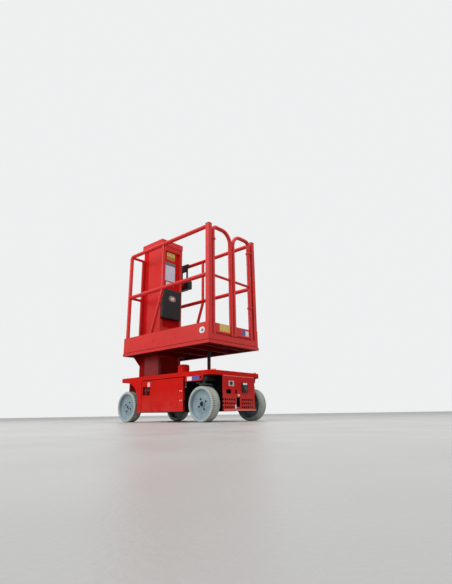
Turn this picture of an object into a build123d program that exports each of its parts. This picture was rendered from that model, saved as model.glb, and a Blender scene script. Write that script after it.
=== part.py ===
# Self-propelled order picker with a telescopic mast, +X towards the gates, +Y left, +Z up.
# The origin is on the floor, under the middle of the machine. All sizes are in millimetres.
from build123d import *
import os

os.makedirs("parts", exist_ok=True)

# Running gear
wheelbase = 1080
tyre_radius = 152.5
tyre_width = 94
wheel_face = 383
tyre_edge = 9
rim_radius = 128
rim_wall = 7
rim_setback = 4
disc_inset = 28
disc_thickness = 8
hub_radius = 34
hub_setback = 6
cap_rise = 12
cap_taper = 10
bolt_circle_radius = 47.5
bolt_radius = 7
bolt_head = 6
bolt_count = 4
axle_pin_radius = 15
kingpin_radius = 16

# Gaps
running_gap = 6
fit_gap = 0.3
arch_gap = 7

# Chassis
pan_bottom = 92
plate = 6
sheet = 4
spine_half = 160
tail_half = 262
body_half_length = 664
deck_half_width = 380
deck_top = 442
deck_lip = 40
deck_corner = 110
deck_rear_corner = 40
lug_x = 545
lug_z = 380
lug_radius = 22
lug_hole = 13
apron_rear = 340
door_front = 316
door_rear = -292
door_skin = 3
door_return = 22
door_clearance = 8
door_gap = 6
door_step = 2
hinge_heights = (150, 310)
hinge_half = 20
hinge_radius = 4.5
hinge_leaf = 3
hinge_offset = 8
hinge_inset = 2
latch_x = -218
latch_z = 295
latch_width = 120
latch_height = 88
latch_corner = 8
latch_overlap = 6
latch_depth = 14
latch_dish = 11
latch_wall = 10
latch_handle = 70
latch_handle_width = 18
bulkhead_front = 322
bulkhead_rear = -358
arch_radius = 192
arch_z = 198
battery_rear = -250
battery_front = 230
battery_height = 235
battery_gap = 16

# Steering
knuckle_plate = 14
knuckle_arm = 14
knuckle_arm_width = 84
beam_height = 50
beam_width = 60
steer_arm = 48
rod_bow = 32
steer_eye_radius = 13
steer_web = 8
tie_rod_radius = 9
rod_height = 14
rod_pin_radius = 6
kingpin_wall = 20
axle_tube_radius = 30
flange_radius = 46
flange_thickness = 12

# Front panel
panel_half = 230
panel_sill = 16
panel_sill_height = 13
panel_corner = 12
vent_width = 20
vent_height = 17
vent_pitch = 30
vent_row_pitch = 33
vent_rows = 3
vent_columns = 6
vent_middle = 116
vent_bottom = 124
slot_z = 260
slot_height = 38
pocket_y = -18
pocket_z = 168
pocket_width = 50
pocket_height = 84
switch_y = 78
switch_z = 300
switch_width = 86
switch_height = 88
switch_thickness = 12
cooling_z = 300
cooling_pitch = 22
cooling_length = 220
cooling_width = 10
cooling_count = 4

# Mast
mast_rear = -656
base_depth = 96
base_half = 151
base_wall = 8
slide_gap = 7
stage_1_depth = 170
stage_2_depth = 210
stage_2_gap = 12
section_wall = 6
section_length = 1500
section_lift = 18
column_half = 157
column_front = -317
column_wall = 5
rib_width = 34
rib_depth = 20
column_head = 60
column_foot = 250
mast_foot = 15
mast_foot_side = 15
hood_gap = 10
hood_height = 70
hood_overhang = 5
hood_rear_overhang = 20
hood_wall = 6
hood_round = 8
pad_height = 90
pad_inset = 14
pad_width = 120
knee_reach = 84
knee_height = 90
knee_plate = 10

# Deck fittings
rest_x = 282
rest_foot = 90
rest_plate = 8
rest_radius = 17
cover_x = 160
cover_inset = 150
cover_radius = 62
cover_height = 92
cover_edge = 22

# Platform
platform_length = 1302
platform_rear = -668
platform_half = 371
platform_depth = 67
floor_top = 750
floor_sheet = 3
toe_height = 130
toe_sheet = 3
toe_lift = 5
rim_bar = 30
rim_inset = 7
sill_height = 20
cross_bar = 40
cross_places = (-20, 500)

# Guard rails and gates
tube_radius = 21
rail_height = 1100
mid_rail_height = 600
rail_inset = 33
rear_post_line = -640
post_side = 45
cap_height = 5
cap_edge = 1
rail_bend = 36
stanchion_lean = 215
stanchion_bend = 180
stanchion_radius = 17
end_rail_radius = 15
end_post_radius = 14
gate_tube = 20
gate_inset = 58
gate_meeting_gap = 3
gate_clear = 30
gate_height = 1133
gate_outer_bend = 45
gate_inner_bend = 118
gate_shoulder = 136
gate_cross_radius = 13
kick_height = 135
kick_sheet = 3
lug_ring = 8
lug_plate = 8
lug_width = 24
lug_places = (360, 970)

# Things on the mast and the rail
document_y = -18
document_z = 1268
document_width = 276
document_height = 344
document_depth = 42
document_depth_low = 36
document_corner = 18
document_round = 10
control_rear = -575
control_front = -300
control_low = 1528
control_height = 100
control_depth = 60
control_round = 12
control_recess = 3
button_rise = 8
hanger_sheet = 6
hanger_width = 120
hanger_leg = 27
hanger_band = 100
hanger_corner = 10
stick_height = 45
stick_radius = 8
knob_radius = 17

pan_half = deck_half_width - door_return - door_clearance
skin_inner = deck_half_width - sheet
skin_front = door_rear - door_gap
arch_x = bulkhead_rear - arch_radius
cover_y = cover_inset - deck_half_width
rail_line = platform_half - rail_inset
gate_line = rail_line - gate_inset
platform_front = platform_rear + platform_length
platform_bottom = floor_top - platform_depth
toe_top = floor_top + toe_height
sill_top = floor_top + sill_height
gate_bottom = floor_top + gate_clear
gate_top = floor_top + gate_height
kick_top = floor_top + kick_height
section_bottom = deck_top + mast_foot + section_lift
section_top = section_bottom + section_length
hood_bottom = section_top + hood_gap
stage_1_rear = mast_rear + base_wall + slide_gap
stage_1_front = stage_1_rear + stage_1_depth
stage_1_half = base_half - base_wall - slide_gap
stage_2_rear = stage_1_rear + section_wall + stage_2_gap
stage_2_front = stage_2_rear + stage_2_depth
stage_2_half = stage_1_half - section_wall - stage_2_gap
front_axle_x = wheelbase / 2
rear_axle_x = -wheelbase / 2
wheel_line = wheel_face - tyre_width / 2
pan_top = pan_bottom + plate
deck_under = deck_top - sheet
lip_bottom = deck_top - deck_lip
knuckle_top_low = 2 * tyre_radius + arch_gap
knuckle_top_high = knuckle_top_low + knuckle_plate
rod_low = knuckle_top_high + running_gap
beam_bottom = rod_low + rod_height + running_gap
beam_top = beam_bottom + beam_height
arm_outer = wheel_line - tyre_width / 2 - arch_gap
arm_inner = arm_outer - knuckle_arm
top_rail_z = floor_top + rail_height
post_top = top_rail_z + tube_radius
mid_rail_z = floor_top + mid_rail_height
post_x = platform_front - rim_inset - post_side / 2
post_back = post_x - post_side / 2
hinge_x = door_front + hinge_offset
hinge_line = deck_half_width - hinge_inset

SIDES = (("left", 1), ("right", -1))


def span(low, high):
    """Middle and length of the range from low to high."""
    return (low + high) / 2, high - low


def bar(x, y, z, mode=Mode.ADD):
    """Add a straight bar or plate that fills the ranges x, y and z."""
    (cx, lx), (cy, ly), (cz, lz) = span(*x), span(*y), span(*z)
    with Locations((cx, cy, cz)):
        Box(lx, ly, lz, mode=mode)


def between(side, near, far):
    """The y range from near to far on one side of the machine, low value first."""
    return tuple(sorted((side * near, side * far)))


def tube(points, radius, bend=0.0):
    """Add a round tube along the points, its corners bent to one radius."""
    with BuildLine() as path:
        if bend:
            FilletPolyline(*points, radius=bend)
        else:
            Polyline(*points)
    with BuildSketch(Plane(origin=path.line @ 0, z_dir=path.line % 0)) as section:
        Circle(radius)
    sweep(sections=section.sketch, path=path.line)


def finish(name, label):
    """Label a finished piece and write it."""
    name.part.label = label
    export_step(name.part, f"parts/{label}.step")


# Wheels: solid tyre on a pressed rim with a deep disc, one table row for each corner
# name, axle position, side, hub cap radius, angle of the first bolt
corners = (
    ("front_left", front_axle_x, 1, 20, 27),
    ("front_right", front_axle_x, -1, 20, 27),
    ("rear_left", rear_axle_x, 1, 14, 64),
    ("rear_right", rear_axle_x, -1, 14, 64),
)
for name, axle_x, side, cap_radius, bolt_angle in corners:
    centre = (axle_x, side * wheel_line, tyre_radius)
    wheel_plane = Plane(origin=centre, x_dir=(1, 0, 0), z_dir=(0, side, 0))
    half = tyre_width / 2

    with BuildPart() as tyre:
        with BuildSketch(Plane.XZ) as tyre_section:
            with Locations(((rim_radius + tyre_radius) / 2, 0)):
                Rectangle(tyre_radius - rim_radius, tyre_width)
            outer_corners = tyre_section.vertices().group_by(Axis.X)[-1]
            chamfer(outer_corners, tyre_edge)
        revolve(axis=Axis.Z)
    tyre.part = tyre.part.moved(wheel_plane.location)
    finish(tyre, f"tyre_{name}")

    disc_out = half - disc_inset
    disc_in = disc_out - disc_thickness
    rim_outer = rim_radius - fit_gap
    rim_inner = rim_outer - rim_wall
    rim_edge = half - rim_setback
    pin_bore = axle_pin_radius + fit_gap
    with BuildPart() as wheel:
        with BuildSketch(Plane.XZ):
            with BuildLine():
                Polyline(
                    (pin_bore, -half + hub_setback),
                    (hub_radius, -half + hub_setback),
                    (hub_radius, disc_in),
                    (rim_inner, disc_in),
                    (rim_inner, -rim_edge),
                    (rim_outer, -rim_edge),
                    (rim_outer, rim_edge),
                    (rim_inner, rim_edge - rim_setback),
                    (rim_inner - rim_wall, disc_out),
                    (cap_radius + cap_taper, disc_out),
                    (cap_radius, disc_out + cap_rise),
                    (0, disc_out + cap_rise),
                    (0, disc_in),
                    (pin_bore, disc_in),
                    close=True,
                )
            make_face()
        revolve(axis=Axis.Z)
        with PolarLocations(bolt_circle_radius, bolt_count, start_angle=bolt_angle):
            with Locations((0, 0, disc_out + bolt_head / 2)):
                Cylinder(bolt_radius, bolt_head)
    wheel.part = wheel.part.moved(wheel_plane.location)
    finish(wheel, f"wheel_{name}")

# Steering knuckles: a bearing plate over the wheel, an arm down its inner side and the axle pin
for name, side in SIDES:
    y_pin = side * wheel_line
    with BuildPart() as knuckle:
        with BuildSketch(Plane.XY.offset(knuckle_top_low)):
            with Locations((front_axle_x, side * (arm_inner + wheel_line) / 2)):
                Rectangle(knuckle_arm_width, wheel_line - arm_inner)
            with Locations((front_axle_x, y_pin)):
                Circle(knuckle_arm_width / 2)
            with BuildLine():
                Polyline(
                    (front_axle_x, y_pin - steer_eye_radius - steer_web),
                    (front_axle_x - steer_arm, y_pin - steer_eye_radius),
                    (front_axle_x - steer_arm, y_pin + steer_eye_radius),
                    (front_axle_x, y_pin + steer_eye_radius + steer_web),
                    close=True,
                )
            make_face()
            with Locations((front_axle_x - steer_arm, y_pin)):
                Circle(steer_eye_radius)
        extrude(amount=knuckle_plate)
        with BuildSketch(Plane.XZ.offset(-side * arm_inner)):
            with Locations((front_axle_x, tyre_radius)):
                Circle(knuckle_arm_width / 2)
            with Locations((front_axle_x, (tyre_radius + knuckle_top_high) / 2)):
                Rectangle(knuckle_arm_width, knuckle_top_high - tyre_radius)
        extrude(amount=-side * knuckle_arm)
        pin_end = wheel_line + tyre_width / 2 - disc_inset - disc_thickness - fit_gap
        with BuildSketch(Plane.XZ.offset(-side * arm_outer)):
            with Locations((front_axle_x, tyre_radius)):
                Circle(axle_pin_radius)
        extrude(amount=-side * (pin_end - arm_outer))
        with Locations((front_axle_x, y_pin, (knuckle_top_high + beam_top) / 2)):
            Cylinder(kingpin_radius, beam_top - knuckle_top_high)
        with BuildSketch(Plane.XY.offset(knuckle_top_high)):
            with Locations((front_axle_x - steer_arm, y_pin)):
                Circle(steer_eye_radius)
        extrude(amount=running_gap - fit_gap)
        with Locations((front_axle_x - steer_arm, y_pin, (knuckle_top_high + rod_low + rod_height) / 2)):
            Cylinder(rod_pin_radius, rod_low + rod_height - knuckle_top_high)
    finish(knuckle, f"knuckle_{name}")

# Tie rod: joins the two steering arms, bowed to the rear so that it swings clear of the kingpins
rod_x = front_axle_x - steer_arm
bow_x = rod_x - rod_bow
with BuildPart() as tie_rod:
    with BuildSketch(Plane.XY.offset(rod_low)):
        for _, side in SIDES:
            with Locations((rod_x, side * wheel_line)):
                Circle(steer_eye_radius)
            with Locations((rod_x - rod_bow / 2, side * wheel_line)):
                Rectangle(rod_bow, 2 * tie_rod_radius)
        with Locations((bow_x, 0)):
            RectangleRounded(2 * tie_rod_radius, 2 * (wheel_line + tie_rod_radius), tie_rod_radius / 2)
        for _, side in SIDES:
            with Locations((rod_x, side * wheel_line)):
                Circle(rod_pin_radius + fit_gap, mode=Mode.SUBTRACT)
    extrude(amount=rod_height)
finish(tie_rod, "tie_rod")

# Front axle: a box beam across the nose with a kingpin bearing at each end
with BuildPart() as front_axle:
    bar((front_axle_x - beam_width / 2, front_axle_x + beam_width / 2),
        (-wheel_line, wheel_line), (beam_bottom, beam_top))
    for _, side in SIDES:
        with Locations((front_axle_x, side * wheel_line, (beam_bottom + beam_top) / 2)):
            Cylinder(kingpin_radius + kingpin_wall, beam_height)
    for _, side in SIDES:
        with Locations((front_axle_x, side * wheel_line, (beam_bottom + beam_top) / 2)):
            Cylinder(kingpin_radius + fit_gap, beam_height, mode=Mode.SUBTRACT)
finish(front_axle, "front_axle")

# Rear axle: a tube across the tail with a bearing flange and an axle pin at each end
with BuildPart() as rear_axle:
    with BuildSketch(Plane.XZ):
        with Locations((rear_axle_x, tyre_radius)):
            Circle(axle_tube_radius)
    extrude(amount=tail_half, both=True)
    for _, side in SIDES:
        with BuildSketch(Plane.XZ.offset(-side * tail_half)):
            with Locations((rear_axle_x, tyre_radius)):
                Circle(flange_radius)
        extrude(amount=-side * flange_thickness)
        with BuildSketch(Plane.XZ.offset(-side * (tail_half + flange_thickness))):
            with Locations((rear_axle_x, tyre_radius)):
                Circle(axle_pin_radius)
        extrude(amount=-side * (pin_end - tail_half - flange_thickness))
finish(rear_axle, "rear_axle")

# Chassis frame: floor pan, two spine plates, two bulkheads, the tail's side plates
# and a side skin in front of each rear wheel, cut round over it
with BuildPart() as chassis_frame:
    with BuildSketch(Plane.XY.offset(pan_bottom)):
        with Locations((0, 0)):
            Rectangle(2 * body_half_length, 2 * spine_half)
        cx, lx = span(bulkhead_rear, bulkhead_front)
        with Locations((cx, 0)):
            Rectangle(lx, 2 * pan_half)
        cx, lx = span(-body_half_length, bulkhead_rear)
        with Locations((cx, 0)):
            Rectangle(lx, 2 * tail_half)
    extrude(amount=plate)
    with BuildSketch(Plane.XZ) as spine_outline:
        with Locations((0, (pan_top + deck_under) / 2)):
            Rectangle(2 * body_half_length, deck_under - pan_top)
        with Locations((front_axle_x, (beam_bottom + beam_top) / 2)):
            Rectangle(beam_width, beam_height, mode=Mode.SUBTRACT)
        cx, lx = span(bow_x - tie_rod_radius - 2 * running_gap, front_axle_x + running_gap)
        cz, lz = span(rod_low - running_gap, beam_bottom)
        with Locations((cx, cz)):
            Rectangle(lx, lz, mode=Mode.SUBTRACT)
        for end in (1, -1):
            with Locations((end * body_half_length, (lip_bottom + deck_under) / 2)):
                Rectangle(2 * sheet, deck_under - lip_bottom, mode=Mode.SUBTRACT)
        with Locations((rear_axle_x, tyre_radius)):
            Circle(axle_tube_radius, mode=Mode.SUBTRACT)
    spine_sheet = spine_outline.sketch
    for _, side in SIDES:
        extrude(spine_sheet.moved(Location((0, side * spine_half, 0))), amount=side * plate)
    bar((bulkhead_front - sheet, bulkhead_front), (-pan_half, pan_half), (pan_top, deck_under))
    bar((bulkhead_rear, bulkhead_rear + sheet), (-skin_inner, skin_inner), (pan_top, deck_under))
    for _, side in SIDES:
        tail = between(side, tail_half - plate, tail_half)
        bar((-body_half_length + sheet, bulkhead_rear), tail, (pan_top, deck_under))
        bar((-body_half_length, -body_half_length + sheet), tail, (pan_top, lip_bottom))
    for _, side in SIDES:
        with BuildSketch(Plane.XZ.offset(-side * (tail_half - plate - 1))):
            with Locations((rear_axle_x, tyre_radius)):
                Circle(axle_tube_radius)
        extrude(amount=-side * (plate + 2), mode=Mode.SUBTRACT)
    for _, side in SIDES:
        bar((bulkhead_rear, skin_front), between(side, pan_half, skin_inner), (pan_bottom, pan_top))
        with BuildSketch(Plane.XZ.offset(-side * skin_inner)):
            cx, lx = span(arch_x, skin_front)
            cz, lz = span(pan_bottom, lip_bottom)
            with Locations((cx, cz)):
                Rectangle(lx, lz)
            cx, lx = span(arch_x, bulkhead_rear)
            cz, lz = span(pan_bottom, arch_z)
            with Locations((cx, cz)):
                Rectangle(lx, lz, mode=Mode.SUBTRACT)
            with Locations((arch_x, arch_z)):
                Circle(arch_radius, mode=Mode.SUBTRACT)
        extrude(amount=-side * sheet)
    for _, side in SIDES:
        for z in hinge_heights:
            low = z + hinge_half + fit_gap
            with Locations((hinge_x, side * hinge_line, low + hinge_half / 2)):
                Cylinder(hinge_radius, hinge_half)
            bar((hinge_x - sheet, hinge_x), between(side, pan_half - sheet, hinge_line),
                (low, low + hinge_half))
finish(chassis_frame, "chassis_frame")

# Top deck: one sheet bent down all round, rounded at the front corners, with an apron strip
# and a lashing lug over each front wheel
with BuildPart() as top_deck:
    with BuildSketch(Plane.XY.offset(lip_bottom)) as deck_outline:
        Rectangle(2 * body_half_length, 2 * deck_half_width)
        fillet(deck_outline.vertices().group_by(Axis.X)[-1], deck_corner)
        fillet(deck_outline.vertices().group_by(Axis.X)[0], deck_rear_corner)
    extrude(amount=deck_lip)
    with BuildSketch(Plane.XY.offset(lip_bottom)):
        offset(deck_outline.sketch, amount=-sheet)
    extrude(amount=deck_lip - sheet, mode=Mode.SUBTRACT)
    for _, side in SIDES:
        with BuildSketch(Plane.XZ.offset(-side * skin_inner)):
            cx, lx = span(apron_rear, lug_x)
            cz, lz = span(beam_bottom, lip_bottom + sheet)
            with Locations((cx, cz)):
                Rectangle(lx, lz)
            cz, lz = span(lug_z, lip_bottom + sheet)
            with Locations((lug_x, cz)):
                Rectangle(2 * lug_radius, lz)
            with Locations((lug_x, lug_z)):
                Circle(lug_radius)
                Circle(lug_hole, mode=Mode.SUBTRACT)
        extrude(amount=-side * sheet)
finish(top_deck, "top_deck")

# Battery pack: one plain block in each side compartment
with BuildPart() as battery_pack:
    for _, side in SIDES:
        bar((battery_rear, battery_front), between(side, spine_half + battery_gap, pan_half - battery_gap),
            (pan_top, pan_top + battery_height))
finish(battery_pack, "battery_pack")

# Front panel: bolted plate with three rows of vents, a pocket, two slots and a bent sill
# slot position across, width
panel_slots = ((-151, 66), (-47, 22))
with BuildPart() as front_panel:
    with BuildSketch(Plane.YZ.offset(body_half_length)) as panel_outline:
        with Locations((0, (pan_bottom + lip_bottom) / 2)):
            Rectangle(2 * panel_half, lip_bottom - pan_bottom)
        fillet(panel_outline.vertices().group_by(Axis.Y)[-1], panel_corner)
        for side in (1, -1):
            for row in range(vent_rows):
                for column in range(vent_columns):
                    y = pocket_y + side * (vent_middle / 2 + column * vent_pitch)
                    with Locations((y, vent_bottom + row * vent_row_pitch)):
                        Rectangle(vent_width, vent_height, mode=Mode.SUBTRACT)
        for slot_y, slot_width in panel_slots:
            with Locations((slot_y, slot_z)):
                Rectangle(slot_width, slot_height, mode=Mode.SUBTRACT)
        with Locations((pocket_y, pocket_z)):
            Rectangle(pocket_width, pocket_height, mode=Mode.SUBTRACT)
    extrude(amount=sheet)
    bar((body_half_length + sheet, body_half_length + panel_sill), (-panel_half, panel_half),
        (pan_bottom, pan_bottom + panel_sill_height))
finish(front_panel, "front_panel")

# Rear panel: bolted plate with a row of cooling slots
with BuildPart() as rear_panel:
    with BuildSketch(Plane.YZ.offset(-body_half_length)):
        with Locations((0, (pan_bottom + lip_bottom) / 2)):
            Rectangle(2 * tail_half, lip_bottom - pan_bottom)
        with Locations((0, cooling_z)):
            with GridLocations(0, cooling_pitch, 1, cooling_count):
                SlotOverall(cooling_length, cooling_width, mode=Mode.SUBTRACT)
    extrude(amount=-sheet)
finish(rear_panel, "rear_panel")

# Side doors: a pressed tray with returned edges, hinged in front
door_low = pan_bottom + door_step
door_high = lip_bottom - door_gap
leaf_inner = hinge_line - hinge_leaf / 2
for name, side in SIDES:
    with BuildPart() as door:
        with BuildSketch(Plane.XZ.offset(-side * (deck_half_width - door_return))) as door_outline:
            cx, lx = span(door_rear, door_front)
            cz, lz = span(door_low, door_high)
            with Locations((cx, cz)):
                Rectangle(lx, lz)
        extrude(amount=-side * door_return)
        with BuildSketch(Plane.XZ.offset(-side * (deck_half_width - door_return))):
            offset(door_outline.sketch, amount=-door_skin)
        extrude(amount=-side * (door_return - door_skin), mode=Mode.SUBTRACT)
        for z in hinge_heights:
            with Locations((hinge_x, side * hinge_line, z)):
                Cylinder(hinge_radius, 2 * hinge_half)
            bar((door_front - 1, hinge_x), between(side, leaf_inner, leaf_inner + hinge_leaf),
                (z - hinge_half, z + hinge_half))
        with BuildSketch(Plane.XZ.offset(-side * deck_half_width)):
            with Locations((latch_x, latch_z)):
                RectangleRounded(latch_width, latch_height, latch_corner)
        extrude(amount=side * door_skin, mode=Mode.SUBTRACT)
    finish(door, f"door_{name}")

# Door latches: a dished cup in the door's cut-out with a turning handle
cup_face = deck_half_width - door_skin
cup_width = latch_width + 2 * latch_overlap
cup_height = latch_height + 2 * latch_overlap
for name, side in SIDES:
    with BuildPart() as latch:
        with BuildSketch(Plane.XZ.offset(-side * (cup_face - latch_depth))):
            with Locations((latch_x, latch_z)):
                RectangleRounded(cup_width, cup_height, latch_corner)
        extrude(amount=-side * latch_depth)
        with BuildSketch(Plane.XZ.offset(-side * cup_face)):
            with Locations((latch_x, latch_z)):
                RectangleRounded(cup_width - 2 * latch_wall, cup_height - 2 * latch_wall, latch_corner / 2)
        extrude(amount=side * latch_dish, mode=Mode.SUBTRACT)
        with BuildSketch(Plane.XZ.offset(-side * (cup_face - latch_dish))):
            with Locations((latch_x, latch_z)):
                SlotOverall(latch_handle, latch_handle_width, rotation=90)
        extrude(amount=-side * (latch_dish - door_step))
    finish(latch, f"latch_{name}")

# Rest post: a round tube on a foot plate, which the lowered platform rests on
with BuildPart() as rest_post:
    with BuildSketch(Plane.XY.offset(deck_top)):
        with Locations((rest_x, 0)):
            Rectangle(rest_foot, rest_foot)
    extrude(amount=rest_plate)
    with BuildSketch(Plane.XY.offset(deck_top + rest_plate)):
        with Locations((rest_x, 0)):
            Circle(rest_radius)
    extrude(amount=platform_bottom - fit_gap - deck_top - rest_plate)
finish(rest_post, "rest_post")

# Motor cover: a round cap with a bevelled top, standing on the deck
with BuildPart() as motor_cover:
    with BuildSketch(Plane.XY.offset(deck_top)):
        with Locations((cover_x, cover_y)):
            Circle(cover_radius)
    extrude(amount=cover_height)
    chamfer(motor_cover.edges().sort_by(Axis.Z)[-1], cover_edge)
finish(motor_cover, "motor_cover")

# Mast base: a deep channel on a foot plate, open to the front, with slide pads at its top
# and a knee bracket on each side that carries the lowered platform's rear end
base_front = mast_rear + base_depth
pad_low = section_top - pad_height
knee_top = platform_bottom - fit_gap
with BuildPart() as mast_base:
    with BuildSketch(Plane.XY.offset(deck_top + mast_foot)):
        cx, lx = span(mast_rear, base_front)
        with Locations((cx, 0)):
            Rectangle(lx, 2 * base_half)
        cx, lx = span(mast_rear + base_wall, base_front)
        with Locations((cx, 0)):
            Rectangle(lx, 2 * (base_half - base_wall), mode=Mode.SUBTRACT)
    extrude(amount=section_top - deck_top - mast_foot)
    cx, lx = span(mast_rear, column_front + hood_overhang)
    with BuildSketch(Plane.XY.offset(deck_top)):
        with Locations((cx, 0)):
            Rectangle(lx, 2 * (column_half + mast_foot_side))
    extrude(amount=mast_foot)
    for _, side in SIDES:
        bar((mast_rear + base_wall + pad_inset, base_front - pad_inset),
            between(side, stage_1_half + fit_gap, base_half - base_wall), (pad_low, section_top))
        with BuildSketch(Plane.YZ.offset(mast_rear)):
            with BuildLine():
                Polyline((side * base_half, knee_top), (side * (base_half + knee_reach), knee_top),
                         (side * base_half, knee_top - knee_height), close=True)
            make_face()
        extrude(amount=knee_plate)
    bar((mast_rear + base_wall, stage_1_rear - fit_gap), (-pad_width / 2, pad_width / 2),
        (pad_low, section_top))
finish(mast_base, "mast_base")

# First sliding stage: a channel inside the base with its own pads at the top
with BuildPart() as mast_stage_1:
    with BuildSketch(Plane.XY.offset(section_bottom)):
        cx, lx = span(stage_1_rear, stage_1_front)
        with Locations((cx, 0)):
            Rectangle(lx, 2 * stage_1_half)
        cx, lx = span(stage_1_rear + section_wall, stage_1_front)
        with Locations((cx, 0)):
            Rectangle(lx, 2 * (stage_1_half - section_wall), mode=Mode.SUBTRACT)
    extrude(amount=section_length)
    for _, side in SIDES:
        bar((stage_2_rear + pad_inset, stage_1_front - pad_inset),
            between(side, stage_2_half + fit_gap, stage_1_half - section_wall), (pad_low, section_top))
finish(mast_stage_1, "mast_stage_1")

# Second sliding stage: a box section inside the first stage and the column
pad_depth = stage_2_front - stage_1_front - 2 * pad_inset
with BuildPart() as mast_stage_2:
    with BuildSketch(Plane.XY.offset(section_bottom)):
        cx, lx = span(stage_2_rear, stage_2_front)
        with Locations((cx, 0)):
            Rectangle(lx, 2 * stage_2_half)
            Rectangle(lx - 2 * section_wall, 2 * (stage_2_half - section_wall), mode=Mode.SUBTRACT)
    extrude(amount=section_length)
    for _, side in SIDES:
        bar((stage_2_front - pad_depth - fit_gap, stage_2_front - fit_gap),
            between(side, stage_2_half, column_half - column_wall - fit_gap), (pad_low, section_top))
finish(mast_stage_2, "mast_stage_2")

# Mast column: the wide front section that carries the platform, its web set back between ribs
column_rear = base_front + running_gap
web_face = column_front - rib_depth
with BuildPart() as mast_column:
    with BuildSketch(Plane.XY.offset(section_bottom)):
        cx, lx = span(column_rear, column_front)
        with Locations((cx, 0)):
            Rectangle(lx, 2 * column_half)
        cx, lx = span(column_rear, web_face - column_wall)
        with Locations((cx, 0)):
            Rectangle(lx, 2 * (column_half - column_wall), mode=Mode.SUBTRACT)
        cx, lx = span(web_face, column_front)
        with Locations((cx, 0)):
            Rectangle(lx, 2 * (column_half - rib_width), mode=Mode.SUBTRACT)
    extrude(amount=hood_bottom - section_bottom)
    bar((web_face, column_front), (-column_half, column_half), (hood_bottom - column_head, hood_bottom))
    bar((web_face, column_front), (-column_half, column_half), (platform_bottom, floor_top + column_foot))
finish(mast_column, "mast_column")

# Mast hood: a pressed cap over the column and the base
with BuildPart() as mast_hood:
    cx, lx = span(mast_rear - hood_rear_overhang, column_front + hood_overhang)
    with BuildSketch(Plane.XY.offset(hood_bottom)):
        with Locations((cx, 0)):
            Rectangle(lx, 2 * (column_half + hood_overhang))
    extrude(amount=hood_height)
    fillet(mast_hood.faces().sort_by(Axis.Z)[-1].edges(), hood_round)
    with BuildSketch(Plane.XY.offset(hood_bottom)):
        with Locations((cx, 0)):
            Rectangle(lx - 2 * hood_round, 2 * (column_half - column_wall))
    extrude(amount=hood_height - hood_wall, mode=Mode.SUBTRACT)
finish(mast_hood, "mast_hood")

# Platform frame: rim bars and cross bars round the notch for the mast
frame_rear = platform_rear + rim_inset
frame_front = platform_front - rim_inset
frame_half = platform_half - rim_inset
with BuildPart() as platform_frame:
    with BuildSketch(Plane.XY.offset(platform_bottom)):
        cx, lx = span(frame_rear, frame_front)
        with Locations((cx, 0)):
            Rectangle(lx, 2 * frame_half)
            Rectangle(lx - 2 * cross_bar, 2 * (frame_half - cross_bar), mode=Mode.SUBTRACT)
        cx, lx = span(frame_rear, column_front + cross_bar)
        with Locations((cx, 0)):
            Rectangle(lx, 2 * (column_half + cross_bar))
        for x in (*cross_places, rest_x):
            with Locations((x, 0)):
                Rectangle(cross_bar, 2 * frame_half)
    extrude(amount=floor_top - floor_sheet - platform_bottom)
    with BuildSketch(Plane.XY.offset(platform_bottom)):
        cx, lx = span(platform_rear, platform_front)
        with Locations((cx, 0)):
            Rectangle(lx, 2 * platform_half)
            Rectangle(lx - 4 * rim_inset, 2 * frame_half - 2 * rim_inset, mode=Mode.SUBTRACT)
    extrude(amount=rim_bar)
    bar((platform_rear, column_front), (-column_half, column_half), (platform_bottom, floor_top),
        mode=Mode.SUBTRACT)
finish(platform_frame, "platform_frame")

# Platform floor: one chequered sheet with the same notch
with BuildPart() as platform_floor:
    with BuildSketch(Plane.XY.offset(floor_top - floor_sheet)):
        cx, lx = span(frame_rear, frame_front)
        with Locations((cx, 0)):
            Rectangle(lx, 2 * frame_half)
        cx, lx = span(frame_rear, column_front)
        with Locations((cx, 0)):
            Rectangle(lx, 2 * column_half, mode=Mode.SUBTRACT)
    extrude(amount=floor_sheet)
finish(platform_floor, "platform_floor")

# Toe boards: side sheets with rear returns, and the low end sheet with the sill under the gates
toe_low = platform_bottom + rim_bar + toe_lift
with BuildPart() as toe_boards:
    for _, side in SIDES:
        bar((frame_rear - toe_sheet, frame_front), between(side, frame_half, frame_half + toe_sheet),
            (toe_low, toe_top))
        bar((frame_rear - toe_sheet, frame_rear), between(side, column_half + running_gap, frame_half),
            (toe_low, toe_top))
    bar((frame_front, frame_front + toe_sheet), (-frame_half, frame_half), (toe_low, sill_top))
    bar((post_back, frame_front), (-rail_line + post_side / 2, rail_line - post_side / 2),
        (floor_top, sill_top))
finish(toe_boards, "toe_boards")

# Front posts: square tubes that carry the rails and the gate hinges, closed by black caps
for name, side in SIDES:
    with BuildPart() as front_post:
        with BuildSketch(Plane.XY.offset(floor_top)):
            with Locations((post_x, side * rail_line)):
                Rectangle(post_side, post_side)
        extrude(amount=post_top - floor_top)
        # height of the lug over the floor, whether it is a ring round the gate's tube
        lugs = [(gate_clear - lug_plate - fit_gap, False)] + [(place, True) for place in lug_places]
        for height, ring in lugs:
            with BuildSketch(Plane.XY.offset(floor_top + height)):
                cy, ly = span(gate_line, rail_line)
                with Locations((post_x, side * cy)):
                    Rectangle(lug_width, ly)
                with Locations((post_x, side * gate_line)):
                    Circle(gate_tube + lug_ring)
                    if ring:
                        Circle(gate_tube + fit_gap, mode=Mode.SUBTRACT)
            extrude(amount=lug_plate)
    finish(front_post, f"front_post_{name}")

with BuildPart() as post_caps:
    for _, side in SIDES:
        with BuildSketch(Plane.XY.offset(post_top)):
            with Locations((post_x, side * rail_line)):
                Rectangle(post_side + 2 * cap_edge, post_side + 2 * cap_edge)
        extrude(amount=cap_height)
finish(post_caps, "post_caps")

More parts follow.
